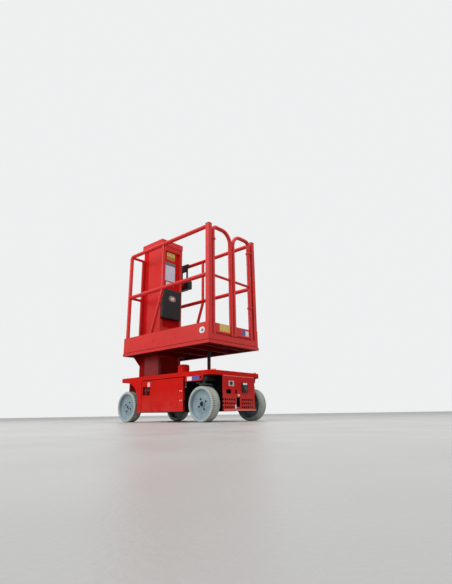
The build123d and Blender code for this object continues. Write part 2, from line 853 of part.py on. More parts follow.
# Side guards: top rail bent down into the rear post, mid rail, leaning stanchion and rear rails,
# of which the upper one meets the middle of the bend
bend_inset = rail_bend * (1 - 0.5 ** 0.5)
end_rail_x = rear_post_line + bend_inset
end_rail_z = top_rail_z - bend_inset
# side name, side, stanchion position
for name, side, stanchion_x in (("left", 1, -138), ("right", -1, -68)):
    y = side * rail_line
    inner_y = side * (column_half + running_gap + end_post_radius)
    with BuildPart() as guard:
        tube([(post_back, y, top_rail_z), (rear_post_line, y, top_rail_z),
              (rear_post_line, y, floor_top)], tube_radius, rail_bend)
        tube([(post_back, y, mid_rail_z), (rear_post_line, y, mid_rail_z)], tube_radius)
        tube([(stanchion_x, y, top_rail_z), (stanchion_x, y, mid_rail_z - tube_radius),
              (stanchion_x - stanchion_lean, y, floor_top - tube_radius)], stanchion_radius, stanchion_bend)
        tube([(end_rail_x, y, end_rail_z), (end_rail_x, inner_y, end_rail_z)], end_rail_radius)
        tube([(rear_post_line, y, mid_rail_z), (rear_post_line, inner_y, mid_rail_z)], end_rail_radius)
        tube([(rear_post_line, inner_y, end_rail_z + end_rail_radius),
              (rear_post_line, inner_y, floor_top)], end_post_radius)
        bar((platform_rear, platform_front), (-platform_half, platform_half), (platform_bottom, floor_top),
            mode=Mode.SUBTRACT)
    finish(guard, f"guard_{name}")

# Gates: a bent tube frame with a mid rail and a kick sheet, hinged on the front posts
gate_tip = gate_top - gate_tube
shoulder_y = gate_line - gate_shoulder
for name, side in SIDES:
    inner_line = gate_meeting_gap + gate_tube
    y_out = side * gate_line
    y_in = side * inner_line
    with BuildPart() as gate:
        tube([(post_x, y_out, gate_bottom), (post_x, y_out, gate_tip),
              (post_x, side * shoulder_y, gate_tip)], gate_tube, gate_outer_bend)
        tube([(post_x, side * shoulder_y, gate_tip), (post_x, y_in, gate_tip),
              (post_x, y_in, gate_bottom)], gate_tube, gate_inner_bend)
        for z in (mid_rail_z, gate_bottom + gate_tube):
            tube([(post_x, y_out, z), (post_x, y_in, z)], gate_cross_radius)
        bar((post_x - kick_sheet / 2, post_x + kick_sheet / 2), between(side, inner_line, gate_line),
            (gate_bottom, kick_top))
    finish(gate, f"gate_{name}")

# Document box: a black moulded case on the column's front, deeper at its lid
document_low = document_z - document_height / 2
document_high = document_low + document_height
with BuildPart() as document_box:
    with BuildSketch(Plane.XZ.offset(-document_y - document_width / 2)):
        with BuildLine():
            Polyline(
                (column_front, document_low),
                (column_front + document_depth_low, document_low),
                (column_front + document_depth, document_high),
                (column_front, document_high),
                close=True,
            )
        make_face()
    extrude(amount=document_width)
    fillet(document_box.edges().filter_by(Axis.X), document_corner)
    fillet(document_box.faces().sort_by(Axis.X)[-1].edges(), document_round)
finish(document_box, "document_box")

# Control box: a case with buttons and a stick, on a plate with a window hooked over the left top rail
control_x = (control_rear + control_front) / 2
control_top = control_low + control_height
hanger_back = rail_line - tube_radius - fit_gap
hanger_face = hanger_back - hanger_sheet
rail_over = top_rail_z + tube_radius + fit_gap
hanger_top = rail_over + hanger_sheet
control_y = hanger_face - control_depth / 2
# button place along the box from its middle, radius
control_buttons = ((-62, 11), (-26, 11), (40, 18))
with BuildPart() as control_box:
    bar((control_rear, control_front), (hanger_face - control_depth, hanger_face),
        (control_low, control_top))
    fillet(control_box.edges().filter_by(Axis.X).group_by(Axis.Y)[0], control_round)
    with BuildSketch(Plane.XZ.offset(-hanger_back)) as hanger_outline:
        cz, lz = span(control_low, hanger_top)
        with Locations((control_x, cz)):
            Rectangle(hanger_width, lz)
        cz, lz = span(control_top, hanger_top - hanger_band)
        with Locations((control_x, cz)):
            Rectangle(hanger_width - 2 * hanger_leg, lz, mode=Mode.SUBTRACT)
        fillet(hanger_outline.vertices().group_by(Axis.Y)[2], hanger_corner)
    extrude(amount=hanger_sheet)
    bar((control_x - hanger_width / 2, control_x + hanger_width / 2),
        (hanger_back, rail_line + tube_radius), (rail_over, hanger_top))
    with BuildSketch(Plane.XZ.offset(control_depth - hanger_face)):
        with Locations((control_x, (control_low + control_top) / 2)):
            RectangleRounded(control_front - control_rear - 2 * control_round,
                             control_height - 2 * control_round, control_round)
    extrude(amount=-control_recess, mode=Mode.SUBTRACT)
    for place, radius in control_buttons:
        with BuildSketch(Plane.XZ.offset(control_depth - hanger_face - control_recess)):
            with Locations((control_x + place, (control_low + control_top) / 2)):
                Circle(radius)
        extrude(amount=button_rise)
    with Locations((control_x, control_y, control_top + stick_height / 2)):
        Cylinder(stick_radius, stick_height)
    with Locations((control_x, control_y, control_top + stick_height)):
        Sphere(knob_radius)
finish(control_box, "control_box")

# Power switch: a black isolator on the front panel
with BuildPart() as power_switch:
    with BuildSketch(Plane.YZ.offset(body_half_length + sheet)):
        with Locations((switch_y, switch_z)):
            RectangleRounded(switch_width, switch_height, latch_corner)
    extrude(amount=switch_thickness)
finish(power_switch, "power_switch")
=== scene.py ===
import math

import bmesh
import bpy
import numpy as np
from mathutils import Matrix, Vector


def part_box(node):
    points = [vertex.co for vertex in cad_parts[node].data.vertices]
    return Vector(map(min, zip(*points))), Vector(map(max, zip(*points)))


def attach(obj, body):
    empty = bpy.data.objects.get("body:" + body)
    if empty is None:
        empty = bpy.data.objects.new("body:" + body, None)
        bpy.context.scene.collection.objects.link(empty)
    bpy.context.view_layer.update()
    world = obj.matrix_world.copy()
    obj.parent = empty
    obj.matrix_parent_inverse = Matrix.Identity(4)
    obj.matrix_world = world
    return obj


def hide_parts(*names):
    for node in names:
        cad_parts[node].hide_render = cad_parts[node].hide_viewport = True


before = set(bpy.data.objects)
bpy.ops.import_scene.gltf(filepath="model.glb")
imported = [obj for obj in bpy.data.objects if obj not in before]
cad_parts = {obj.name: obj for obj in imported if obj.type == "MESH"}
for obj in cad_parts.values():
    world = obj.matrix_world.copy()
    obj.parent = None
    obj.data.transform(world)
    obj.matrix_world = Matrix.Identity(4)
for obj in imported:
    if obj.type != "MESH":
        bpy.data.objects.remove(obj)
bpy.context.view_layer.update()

# The place: a pale hall floor and an even pale surround, seen from a lens just over the floor
# off the machine's front right corner. Lengths are metres, +X towards the gates, +Y left.
scene = bpy.context.scene
scene.view_settings.view_transform = "Standard"

LENS_PLACE = (3.116, -2.972, 0.064)
LENS_AIM = (-0.6289, 0.7209, 0.2911)
LENS_ROLL = -0.01552
LENS_MM = 24.97
# one pixel of the picture's 584 in height
LENS_SHIFT = -1 / 584
SENSOR_MM = 36.0
SIGHT_END = 200.0


def camera_from(place, aim, roll, lens, shift):
    """A camera whose axes come from cross products: right is aim x up, then right and up turn by the roll."""
    aim = np.array(aim) / np.linalg.norm(aim)
    right = np.cross(aim, (0.0, 0.0, 1.0))
    right /= np.linalg.norm(right)
    up = np.cross(right, aim)
    right, up = (math.cos(roll) * right + math.sin(roll) * up,
                 math.cos(roll) * up - math.sin(roll) * right)
    data = bpy.data.cameras.new("camera")
    data.lens, data.sensor_width, data.shift_y, data.clip_end = lens, SENSOR_MM, shift, SIGHT_END
    camera = bpy.data.objects.new("camera", data)
    matrix = np.eye(4)
    matrix[:3, 0], matrix[:3, 1], matrix[:3, 2], matrix[:3, 3] = right, up, -aim, place
    camera.matrix_world = Matrix(matrix.tolist())
    scene.collection.objects.link(camera)
    return camera


scene.camera = camera_from(LENS_PLACE, LENS_AIM, LENS_ROLL, LENS_MM, LENS_SHIFT)


class Wire:
    """One output of a material's nodes. Arithmetic on it adds Math nodes, and node() adds any other."""

    def __init__(self, tree, socket=None):
        self.tree, self.socket = tree, socket

    def node(self, kind, settings=None, inputs=None, output=0):
        """A new node of a kind: its settings first, then the values or wires of its inputs."""
        made = self.tree.nodes.new("ShaderNode" + kind)
        for name, value in (settings or {}).items():
            setattr(made, name, value)
        for name, value in (inputs or {}).items():
            if isinstance(value, Wire):
                self.tree.links.new(value.socket, made.inputs[name])
            else:
                made.inputs[name].default_value = value
        return Wire(self.tree, made.outputs[output])

    def maths(self, operation, first, second):
        return self.node("Math", {"operation": operation}, {0: first, 1: second})

    def __add__(self, other):
        return self.maths("ADD", self, other)

    def __mul__(self, other):
        return self.maths("MULTIPLY", self, other)

    def __gt__(self, other):
        return self.maths("GREATER_THAN", self, other)

    def __lt__(self, other):
        return self.maths("LESS_THAN", self, other)

    __radd__ = __add__
    __rmul__ = __mul__


def principled(name, **constants):
    """A new material and the place on its piece in metres. Constants set the shader's sockets by name."""
    material = bpy.data.materials.new(name)
    material.use_nodes = True
    tree = material.node_tree
    for socket, value in constants.items():
        tree.nodes["Principled BSDF"].inputs[socket.replace("_", " ")].default_value = value
    return material, Wire(tree).node("TexCoord", output="Object")


def coated(material, colour, roughness, normal):
    """The material, with wires for its colour, roughness and normal led into its shader."""
    shader = material.node_tree.nodes["Principled BSDF"]
    for socket, wire in (("Base Color", colour), ("Roughness", roughness), ("Normal", normal)):
        wire.tree.links.new(wire.socket, shader.inputs[socket])
    return material


def noise(place, scale, detail):
    """A noise pattern of the given scale in 1/m, about 0.5 in the mean."""
    return place.node("TexNoise", None, {"Vector": place, "Scale": scale, "Detail": detail}, "Fac")


def blotches(place, scale, low, high, detail=3.0):
    """A value that wanders between low and high over a noise pattern of the given scale in 1/m."""
    return place.node("MapRange", None, {"Value": noise(place, scale, detail), "From Min": 0.3,
                                         "From Max": 0.7, "To Min": low, "To Max": high})


def mixed(share, first, second):
    """Two colours mixed by a share from 0, the first, to 1, the second."""
    first, second = (colour if isinstance(colour, Wire) else (*colour, 1.0) for colour in (first, second))
    return share.node("Mix", {"data_type": "RGBA"}, {0: share, 6: first, 7: second}, 2)


def bumped(height, distance):
    """A normal bent by a height, which is at most distance deep in metres."""
    return height.node("Bump", None, {"Height": height, "Distance": distance}, "Normal")


def weld(points, faces, values=None):
    """A closed mesh from points and faces: doubled points are merged and faces turned outwards. Named values,
    one for each point, go with it for its material."""
    mesh = bpy.data.meshes.new("shape")
    mesh.from_pydata(np.asarray(points, float).tolist(), [], [list(map(int, face)) for face in faces])
    for name, each in (values or {}).items():
        mesh.attributes.new(name, "FLOAT", "POINT").data.foreach_set("value", each)
    work = bmesh.new()
    work.from_mesh(mesh)
    bmesh.ops.remove_doubles(work, verts=work.verts, dist=2e-6)
    bmesh.ops.recalc_face_normals(work, faces=work.faces)
    work.to_mesh(mesh)
    work.free()
    return mesh


# the angle in degrees from which an edge counts as sharp
CREASE = 32


def part(name, mesh, material, body, crease=CREASE, replaced=()):
    """A finished piece at the origin from a mesh or from points and faces: smooth up to the crease angle,
    riding on a body in its material, and standing for the nodes that it replaces."""
    if isinstance(mesh, tuple):
        mesh = weld(*mesh)
    mesh.name = name
    mesh.materials.clear()
    mesh.materials.append(material)
    mesh.polygons.foreach_set("use_smooth", [True] * len(mesh.polygons))
    mesh.set_sharp_from_angle(angle=math.radians(crease))
    piece = bpy.data.objects.new(name, mesh)
    scene.collection.objects.link(piece)
    if body:
        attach(piece, body)
    if replaced:
        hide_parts(*replaced)
    return piece


FLOOR_REACH = 60.0


def floor_finish():
    """Pale sealed screed: light grey with faint blotches, a little gloss and a fine grain."""
    material, place = principled("floor_screed", Specular_IOR_Level=0.35)
    colour = mixed(blotches(place, 0.9, 0.0, 1.0, 5.0), (0.375, 0.378, 0.368), (0.425, 0.428, 0.418))
    return coated(material, colour, blotches(place, 3.0, 0.32, 0.46),
                  bumped(noise(place, 180.0, 2.0), 0.0004))


corner = np.array([(-1, -1, 0), (1, -1, 0), (1, 1, 0), (-1, 1, 0)]) * FLOOR_REACH
piece = part("floor", weld(corner, [(0, 1, 2, 3)]), floor_finish(), None)

SKY_SEEN = (0.86, 0.865, 0.87, 1.0)
SKY_LIGHT = (1.0, 0.99, 0.98, 1.0)
SKY_STRENGTH = 0.62
# an even light from all sides, which shows as a pale backdrop to the lens and to glossy surfaces
world = bpy.data.worlds.new("surround")
scene.world = world
world.use_nodes = True
world.node_tree.nodes.clear()
sky = Wire(world.node_tree)
seen = (sky.node("LightPath", output="Is Camera Ray") + sky.node("LightPath", output="Is Glossy Ray")
        + sky.node("LightPath", output="Is Transmission Ray"))
lit = sky.node("Background", None, {"Color": SKY_LIGHT, "Strength": SKY_STRENGTH})
shown = sky.node("Background", None, {"Color": SKY_SEEN, "Strength": 1.0})
world_out = world.node_tree.nodes.new("ShaderNodeOutputWorld")
both = sky.node("MixShader", None, {0: seen, 1: lit, 2: shown})
world.node_tree.links.new(both.socket, world_out.inputs["Surface"])

# soft rectangular lamps: name, place, aimed at, width, height, power in watts
LAMPS = (
    ("roof_lights", (0.6, -1.0, 6.0), (0.0, 0.0, 0.8), 5.0, 5.0, 230.0),
    ("open_side", (-1.5, -5.5, 3.2), (0.0, 0.0, 1.0), 4.0, 3.0, 170.0),
    ("front_fill", (5.5, 1.0, 2.6), (0.0, 0.0, 1.0), 3.0, 3.0, 45.0),
)
for name, place, target, width, height, power in LAMPS:
    data = bpy.data.lights.new(name, "AREA")
    data.shape, data.size, data.size_y, data.energy = "RECTANGLE", width, height, power
    lamp = bpy.data.objects.new(name, data)
    lamp.location = place
    lamp.rotation_euler = (Vector(target) - Vector(place)).to_track_quat("-Z", "Y").to_euler()
    scene.collection.objects.link(lamp)


# Chassis: welded frame of pan, spine plates and bulkheads, with the deck, end panels and doors on it.
# Folded steel sheet under red powder coat, its edges slightly rounded by bending and worn paler.
RED = (0.60, 0.009, 0.006)
DOOR_RED = (0.57, 0.007, 0.004)
# the nose plate's red, darkened as painted shade for a face turned from the main light; the rear plate shares
# it
SHADED_FRONT_RED = (0.52, 0.009, 0.007)
# the frame's deeper red stands for painted shade in the wheel arches; the mast's slides share the tone
DEEP_RED = (0.27, 0.004, 0.003)
# painted shade: a near-black red for undersides, the tail's inside, the hinge barrels and the floor sheet
PAINTED_SHADE_RED = (0.15, 0.002, 0.002)
EDGE_RED = (0.66, 0.045, 0.032)
# painted shade: the black that the frame turns to in the steering bay
BAY_SHADE_BLACK = (0.012, 0.011, 0.012)
DUST = (0.36, 0.27, 0.23)
SCUFF = (0.50, 0.10, 0.08)
# painted highlight: a pale red for the sill's front and the nose plate's top edge
HIGHLIGHT_RED = (0.62, 0.20, 0.17)
# painted shade under the lowered platform, blotched in below a given height
UNDER_PLATFORM_SHADE = (0.085, 0.003, 0.004)


def shaded(colour, share):
    """A colour darkened to a share of itself."""
    return tuple(share * value for value in colour)


def red_enamel(name, tone=RED, dusty=0.25, gloss=0.28, nose=None, shade_below=None):
    """Red powder coat: faint colour drift, orange peel, long waves of the sheet, hair scratches and floor
    dust near the ground. Forward of the nose position in X it turns black as painted shade in the steering
    bay, and below the given height it is darkened in dark red blotches as painted shade under the platform."""
    material, place = principled(name, Coat_Weight=0.35 * gloss, Coat_Roughness=0.12,
                                 Specular_IOR_Level=gloss)
    colour = mixed(blotches(place, 2.2, 0.0, 1.0, 4.0), shaded(tone, 0.86), tone)
    stretched = place.node("Mapping", None, {"Vector": place, "Scale": (7.0, 110.0, 150.0)})
    colour = mixed((noise(stretched, 1.0, 2.0) > 0.71) * 0.35, colour, SCUFF)
    height = place.node("SeparateXYZ", None, {0: place}, "Z")
    low = place.node("MapRange", None, {"Value": height, "From Min": 0.02, "From Max": 0.30,
                                        "To Min": dusty, "To Max": 0.0})
    dust = low * blotches(place, 14.0, 0.1, 1.0, 6.0)
    colour = mixed(dust, colour, DUST)
    # painted shade under the lowered platform: below the given height the colour turns to a blotched dark red
    if shade_below is not None:
        colour = mixed((shade_below > height) * blotches(place, 6.0, 0.45, 0.8, 5.0), colour, UNDER_PLATFORM_SHADE)
    # painted shade: forward of the nose the colour turns black for the steering bay
    if nose is not None:
        colour = mixed(place.node("SeparateXYZ", None, {0: place}, "X") > nose, colour, BAY_SHADE_BLACK)
    roughness = blotches(place, 9.0, 0.26, 0.42) + dust * 0.8 + (0.28 - gloss)
    skin = noise(place, 420.0, 1.0) * 0.05 + noise(place, 4.5, 1.0)
    return coated(material, colour, roughness, bumped(skin, 0.0016))


def dress(name, node, material, body, edge=0.0012, worn=None, zones=()):
    """A copy of a CAD solid: points merged, flat faces joined, and each edge over the crease rounded by a
    bevel, in the worn edge's material if one is given. A zone gives its material to the faces that its test
    picks from their centres and normals."""
    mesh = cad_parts[node].data.copy()
    work = bmesh.new()
    work.from_mesh(mesh)
    bmesh.ops.remove_doubles(work, verts=work.verts, dist=1e-5)
    bmesh.ops.dissolve_limit(work, angle_limit=math.radians(0.2), verts=work.verts, edges=work.edges)
    work.to_mesh(mesh)
    work.free()
    piece = part(name, mesh, material, body, CREASE, [node])
    centres, normals = (np.empty(3 * len(mesh.polygons)) for _ in range(2))
    mesh.polygons.foreach_get("center", centres)
    mesh.polygons.foreach_get("normal", normals)
    kinds = np.zeros(len(mesh.polygons), np.int32)
    mesh.materials.append(worn or material)
    for index, (zone_material, test) in enumerate(zones, 2):
        mesh.materials.append(zone_material)
        kinds[test(centres.reshape(-1, 3), normals.reshape(-1, 3))] = index
    mesh.polygons.foreach_set("material_index", kinds)
    if edge:
        bevel = piece.modifiers.new("edges", "BEVEL")
        bevel.width, bevel.segments, bevel.limit_method = edge, 2, "ANGLE"
        bevel.angle_limit = math.radians(CREASE)
        bevel.harden_normals = True
        bevel.material = 1 if worn else -1
    return piece


# height of the lowered platform's underside, below which painted shade darkens the mast
FLOOR_UNDERSIDE = 0.683
red = red_enamel("red_enamel")
# the column takes painted shade below the platform's underside
red_column = red_enamel("red_enamel_column", gloss=0.22, shade_below=FLOOR_UNDERSIDE)
red_door = red_enamel("red_enamel_doors", DOOR_RED, 0.16, 0.05)
# the nose plate in the darker red of painted shade, with more dust
red_front = red_enamel("red_enamel_nose_plate", SHADED_FRONT_RED, 0.35, 0.08)
painted_shade_red = red_enamel("red_enamel_painted_shade", PAINTED_SHADE_RED, 0.0, 0.02)
red_edge = red_enamel("red_enamel_edges", EDGE_RED, 0.3, 0.12)
highlight_red = red_enamel("red_enamel_painted_highlight", HIGHLIGHT_RED, 0.3, 0.12)
# the frame in a deeper red for painted shade in the arches, black forward of the nose for the steering bay
red_frame = red_enamel("red_enamel_frame", DEEP_RED, 0.12, 0.05, nose=0.315)
dress("deck_sheet", "top_deck", red_door, "chassis", 0.0018, red_edge)


# the sill's front, the back of the rear bulkhead, the inside of the skins beside it, and in X where the nose
# starts and the doors end
SILL_X = 0.6790
BULKHEAD_REAR_X = -0.352
SKIN_INSIDE_Y = 0.370
NOSE_START_X = 0.30
DOOR_END_X = 0.3165


def sill_face(at, way):
    """The front faces of the sill under the nose plate, which take a painted highlight."""
    return at[:, 0] > SILL_X


def tail_inside(at, way):
    """The faces of the frame behind the rear bulkhead, but for the skins over the wheels: they take painted
    shade.
    """
    return (at[:, 0] < BULKHEAD_REAR_X) & (np.abs(at[:, 1]) < SKIN_INSIDE_Y)


def side_skins(at, way):
    """The outer faces of the frame beside and over the rear wheels, level with the doors."""
    return (np.abs(at[:, 1]) > SKIN_INSIDE_Y) & (np.abs(way[:, 1]) > 0.5) & (at[:, 0] < NOSE_START_X)


def hinge_barrels(at, way):
    """The faces of the barrels in front of a door: they take painted shade, so that they stay dark."""
    return at[:, 0] > DOOR_END_X


dress("frame_weldment", "chassis_frame", red_frame, "chassis", 0.0008,
      zones=[(painted_shade_red, tail_inside), (red_door, side_skins)])
dress("front_plate", "front_panel", red_front, "chassis", 0.0010, red_edge, [(highlight_red, sill_face)])
dress("rear_plate", "rear_panel", red_front, "chassis", 0.0008, red_edge)
for side in ("left", "right"):
    dress(f"door_tray_{side}", f"door_{side}", red_door, f"door_{side}", 0.0014, red_edge,
          [(painted_shade_red, hinge_barrels)])


# Screws and bolts of the chassis: domed six-sided heads on washers, where the panels, the doors
# and the mast foot are held down. They are zinc plated, but those of the nose plate are painted over.
def grid_faces(rows, columns, close_rows=False, close_columns=False):
    """The four-cornered faces between neighbours in a grid of rows times columns points."""
    row = np.arange(rows if close_rows else rows - 1)
    column = np.arange(columns if close_columns else columns - 1)
    row, column = (index.ravel() for index in np.meshgrid(row, column, indexing="ij"))
    below, beside = (row + 1) % rows, (column + 1) % columns
    return np.stack([row * columns + column, row * columns + beside,
                     below * columns + beside, below * columns + column], -1).tolist()


def turned(profile, steps=96, closed=False):
    """A profile of (radius, height) turned about Z: x = r cos t, y = r sin t, z = height."""
    profile = np.array(profile, float)
    angle = np.linspace(0.0, 2 * math.pi, steps, endpoint=False)
    radius, height = profile[:, :1], profile[:, 1:]
    points = np.stack([radius * np.cos(angle), radius * np.sin(angle), height + 0 * angle], -1)
    return points.reshape(-1, 3), grid_faces(len(profile), steps, closed, True)


def laid(shape, origin, across, upward):
    """A shape moved so that its x, y and z lie along across, upward and across x upward from the origin."""
    points, faces = shape
    across, upward = np.array(across, float), np.array(upward, float)
    axes = np.stack([across, upward, np.cross(across, upward)])
    return np.asarray(origin, float) + points @ axes, faces


def joined(shapes):
    """Several shapes as one, the faces of each counted on from the points before it."""
    counts = np.cumsum([0] + [len(points) for points, _ in shapes])
    faces = [[corner + start for corner in face]
             for (_, own), start in zip(shapes, counts) for face in own]
    return np.concatenate([points for points, _ in shapes]), faces


def hex_nut(size, height, washer=0.0012):
    """A domed six-sided head on a round washer: two turned profiles, the head with six steps."""
    plate = turned([(0, 0), (1.25 * size, 0), (1.25 * size, washer), (0, washer)], 20)
    head = turned([(0, washer), (size, washer), (size, height - 0.12 * size),
                   (0.86 * size, height), (0, height)], 6)
    return joined([plate, head])


def zinc_finish():
    """Bright zinc plate on fasteners: metal with a mottled gloss."""
    material, place = principled("zinc_plate", Metallic=1.0)
    clouds = blotches(place, 260.0, 0.0, 1.0)
    return coated(material, mixed(clouds, (0.46, 0.46, 0.47), (0.66, 0.66, 0.64)),
                  blotches(place, 180.0, 0.28, 0.48), bumped(clouds, 0.0002))


# the axes across and upward of a face that looks this way
FACING = {"right": ((1, 0, 0), (0, 0, 1)), "left": ((-1, 0, 0), (0, 0, 1)), "front": ((0, 1, 0), (0, 0, 1)),
          "rear": ((0, -1, 0), (0, 0, 1)), "up": ((1, 0, 0), (0, 1, 0))}
# each side with its direction in Y
SIDES = (("right", -1), ("left", 1))
# how far the doors' and the apron's outer faces are from the middle
SIDE_FACE = 0.380
zinc = zinc_finish()


def bolts(name, facing, places, size, material, body, proud=0.85):
    """Heads of one size, standing on a face at their places, as proud of it as this share of the size."""
    heads = [laid(hex_nut(size, proud * size), place, *FACING[facing]) for place in places]
    return part(name, joined(heads), material, body, 20)


nose_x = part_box("power_switch")[0][0]
tail_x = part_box("rear_panel")[0][0]
deck_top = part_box("mast_base")[0][2]
MAST_FOOT_THICK = 0.015
bolts("nose_plate_bolts", "front", [(nose_x, y, z) for y in (-0.219, 0.219) for z in (0.124, 0.255, 0.388)],
      0.0055, red_edge, "chassis")
bolts("tail_plate_bolts", "rear", [(tail_x, y, z) for y in (-0.248, 0.248) for z in (0.110, 0.250, 0.388)],
      0.0060, zinc, "chassis")
bolts("mast_foot_bolts", "up", [(x, y, deck_top + MAST_FOOT_THICK) for x in (-0.640, -0.530, -0.430, -0.330)
                                for y in (-0.1630, 0.1630)], 0.0068, zinc, "chassis")
# the hinge bolts' heads are flatter, so that they stay inside the machine's width
HINGE_HEAD = 0.5
for side, way in SIDES:
    bolts(f"door_hinge_bolts_{side}", side,
          [(x, way * SIDE_FACE, z) for x in (0.276, 0.298) for z in (0.19, 0.275)],
          0.0050, zinc, f"door_{side}", HINGE_HEAD)


# Deck fittings: amber marker lenses at the nose, a pressed motor cover, the rest post and its rubber sleeve.
# The cover is one deep-drawn pot with a flange, the post a steel tube that the lowered platform sits on.
def arc(centre, radius, start, end, steps=6):
    """Points on a circle's arc from one angle to another, in degrees."""
    angle = np.radians(np.linspace(start, end, steps))
    return [(centre[0] + radius * math.cos(a), centre[1] + radius * math.sin(a)) for a in angle]


def rounded(width, height, radius, steps=5):
    """The outline of a rectangle with round corners, centred: four arcs one after another."""
    corners = ((1, 1, 0), (-1, 1, 90), (-1, -1, 180), (1, -1, 270))
    reach_x, reach_y = width / 2 - radius, height / 2 - radius
    return [point for x, y, start in corners
            for point in arc((x * reach_x, y * reach_y), radius, start, start + 90, steps)]


def slab(outline, low, high):
    """A plate with the outline in x and y, from low to high in z."""
    count = len(outline)
    points = [(x, y, low) for x, y in outline] + [(x, y, high) for x, y in outline]
    faces = grid_faces(2, count, False, True) + [list(range(count))[::-1], list(range(count, 2 * count))]
    return np.array(points, float), faces


def spots(place, scale, low, high, detail=3.0):
    """Blotches kept between 0 and 1: the further low lies under 0, the smaller and rarer they are."""
    return place.node("Clamp", None, {"Value": blotches(place, scale, low, high, detail)})


def moulded(name, colour, rough=(0.34, 0.55), grain=0.00025, **constants):
    """Moulded plastic or rubber of one colour: clouded, with lighter scuffed specks and a fine grain."""
    material, place = principled(name, **constants)
    base = mixed(blotches(place, 18.0, 0.0, 1.0, 5.0), shaded(colour, 0.78), colour)
    specks = spots(place, 160.0, -3.4, 1.0)
    lighter = tuple(0.9 * value + 0.035 for value in colour)
    leather = place.node("TexVoronoi", None, {"Vector": place, "Scale": 700.0}, "Distance")
    return coated(material, mixed(specks * 0.5, base, lighter), blotches(place, 35.0, *rough),
                  bumped(leather, grain))


def extent(node):
    """The low and the high corner of a node's box."""
    return (np.array(corner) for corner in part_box(node))


def softened(piece, name, width, segments):
    """A bevel that rounds the edges of a moulded or pressed piece."""
    bevel = piece.modifiers.new(name, "BEVEL")
    bevel.width, bevel.segments, bevel.limit_method = width, segments, "ANGLE"


black_rubber = moulded("black_rubber", (0.016, 0.015, 0.016), (0.55, 0.8))
amber = moulded("amber_lens", (0.85, 0.34, 0.02), (0.12, 0.2), 0.0001, Coat_Weight=0.6)
MARKER_X, MARKER_Y = 0.620, 0.300
# cosine and sine of a marker's turn, which follows the deck's round corner
MARKER_TURN = (0.82, 0.57)
for side, way in (("left", 1), ("right", -1)):
    c, s = MARKER_TURN
    lens = laid(slab(rounded(0.052, 0.024, 0.008), -0.0005, 0.013),
                (MARKER_X, way * MARKER_Y, deck_top), (c, -way * s, 0), (way * s, c, 0))
    softened(part(f"marker_lens_{side}", lens, amber, "chassis"), "dome", 0.0045, 4)

low, high = extent("motor_cover")
middle, top = (low + high) / 2, high[2] - low[2]
reach = (high[0] - low[0]) / 2
POT_CORNER = 0.020
# from the flange's underside out and up over the round corner to the sunk middle
pot = [(0, 0), (reach, 0), (reach, 0.0035), (reach - 0.0012, 0.005), (reach - 0.0045, 0.005),
       (reach - 0.006, 0.007), *arc((reach - 0.006 - POT_CORNER, top - POT_CORNER), POT_CORNER, 0, 90, 9),
       (0.018, top), (0.016, top - 0.0015), (0, top - 0.0015)]
part("motor_pot", laid(turned(pot, 72), (middle[0], middle[1], low[2]), *FACING["up"]),
     red_door, "chassis", 38, ["motor_cover"])

red_post = red_enamel("red_enamel_rest_post", (0.055, 0.003, 0.003), 0.0, 0.15)
dress("rest_column", "rest_post", red_post, "chassis", 0.002)
low, high = extent("rest_post")
SLEEVE_INNER, SLEEVE_OUTER = 0.0172, 0.0198
sleeve = turned([(SLEEVE_INNER, -0.062), (SLEEVE_OUTER, -0.060), (SLEEVE_OUTER, -0.004),
                 (SLEEVE_INNER, -0.002)], 40, True)
part("rest_sleeve", laid(sleeve, ((low[0] + high[0]) / 2, 0, high[2]), *FACING["up"]), black_rubber,
     "chassis")


# Door latches: a sunk cup behind the door's opening with a paddle handle in it, one on each side.
# Pressed steel in darker reds that stand for painted shade inside the sunk cup, the paddle a little lighter
# than its cup.
# painted shade inside the sunk latch: the cup and its paddle in near-black reds
red_cup = red_enamel("red_enamel_latch_cup", (0.10, 0.004, 0.003), 0.0, 0.10)
paddle_red = red_enamel("red_enamel_paddle", (0.20, 0.015, 0.012), 0.0, 0.20)
CUP_DEPTH = 0.0105
for side, way in SIDES:
    dress(f"latch_cup_{side}", f"latch_{side}", red_cup, f"door_{side}", 0.0015)
    low, high = extent(f"latch_{side}")
    middle = (low + high) / 2
    face = way * (max(abs(low[1]), abs(high[1])) - CUP_DEPTH)
    grip = laid(slab(rounded(0.078, 0.024, 0.006), 0.0, 0.006), (middle[0] + 0.004, face, middle[2] + 0.010),
                *FACING[side])
    softened(part(f"latch_paddle_{side}", grip, paddle_red, f"door_{side}"), "soft", 0.002, 3)


# Blank signs and labels: printed vinyl film on the door, the apron, the column, the gates and the toe boards.
# Only plain fields of colour, each a film a little over half a millimetre thick.
def film(name, colour, gloss=0.35):
    """Printed vinyl: an even colour with faint yellowing, fine rubbed streaks and a slightly wavy gloss."""
    material, place = principled(name, Specular_IOR_Level=gloss)
    clouds = blotches(place, 30.0, 0.0, 1.0, 4.0)
    rubbed = spots(place, 210.0, -2.6, 1.0, 4.0)
    printed = mixed(clouds, shaded(colour, 0.88), colour)
    return coated(material, mixed(rubbed * 0.4, printed, (0.45, 0.40, 0.37)),
                  blotches(place, 60.0, 0.30, 0.5), bumped(clouds, 0.0003))


def label(name, at, size, material, body, radius=0.003, thick=0.0006, facing="front"):
    """A film stuck on a face: a thin slab with round corners, centred on its point."""
    part(name, laid(slab(rounded(*size, radius), -0.0002, thick), at, *FACING[facing]), material, body)


white_film = film("white_film", (0.74, 0.74, 0.75))
pale_film = film("pale_blue_film", (0.60, 0.60, 0.72))
pink_film = film("pale_pink_film", (0.72, 0.50, 0.47))
yellow_film = film("yellow_film", (0.64, 0.45, 0.11))
amber_film = film("amber_film", (0.40, 0.16, 0.015))
blue_film = film("blue_film", (0.04, 0.09, 0.36))
dark_film = film("dark_film", (0.16, 0.12, 0.14))

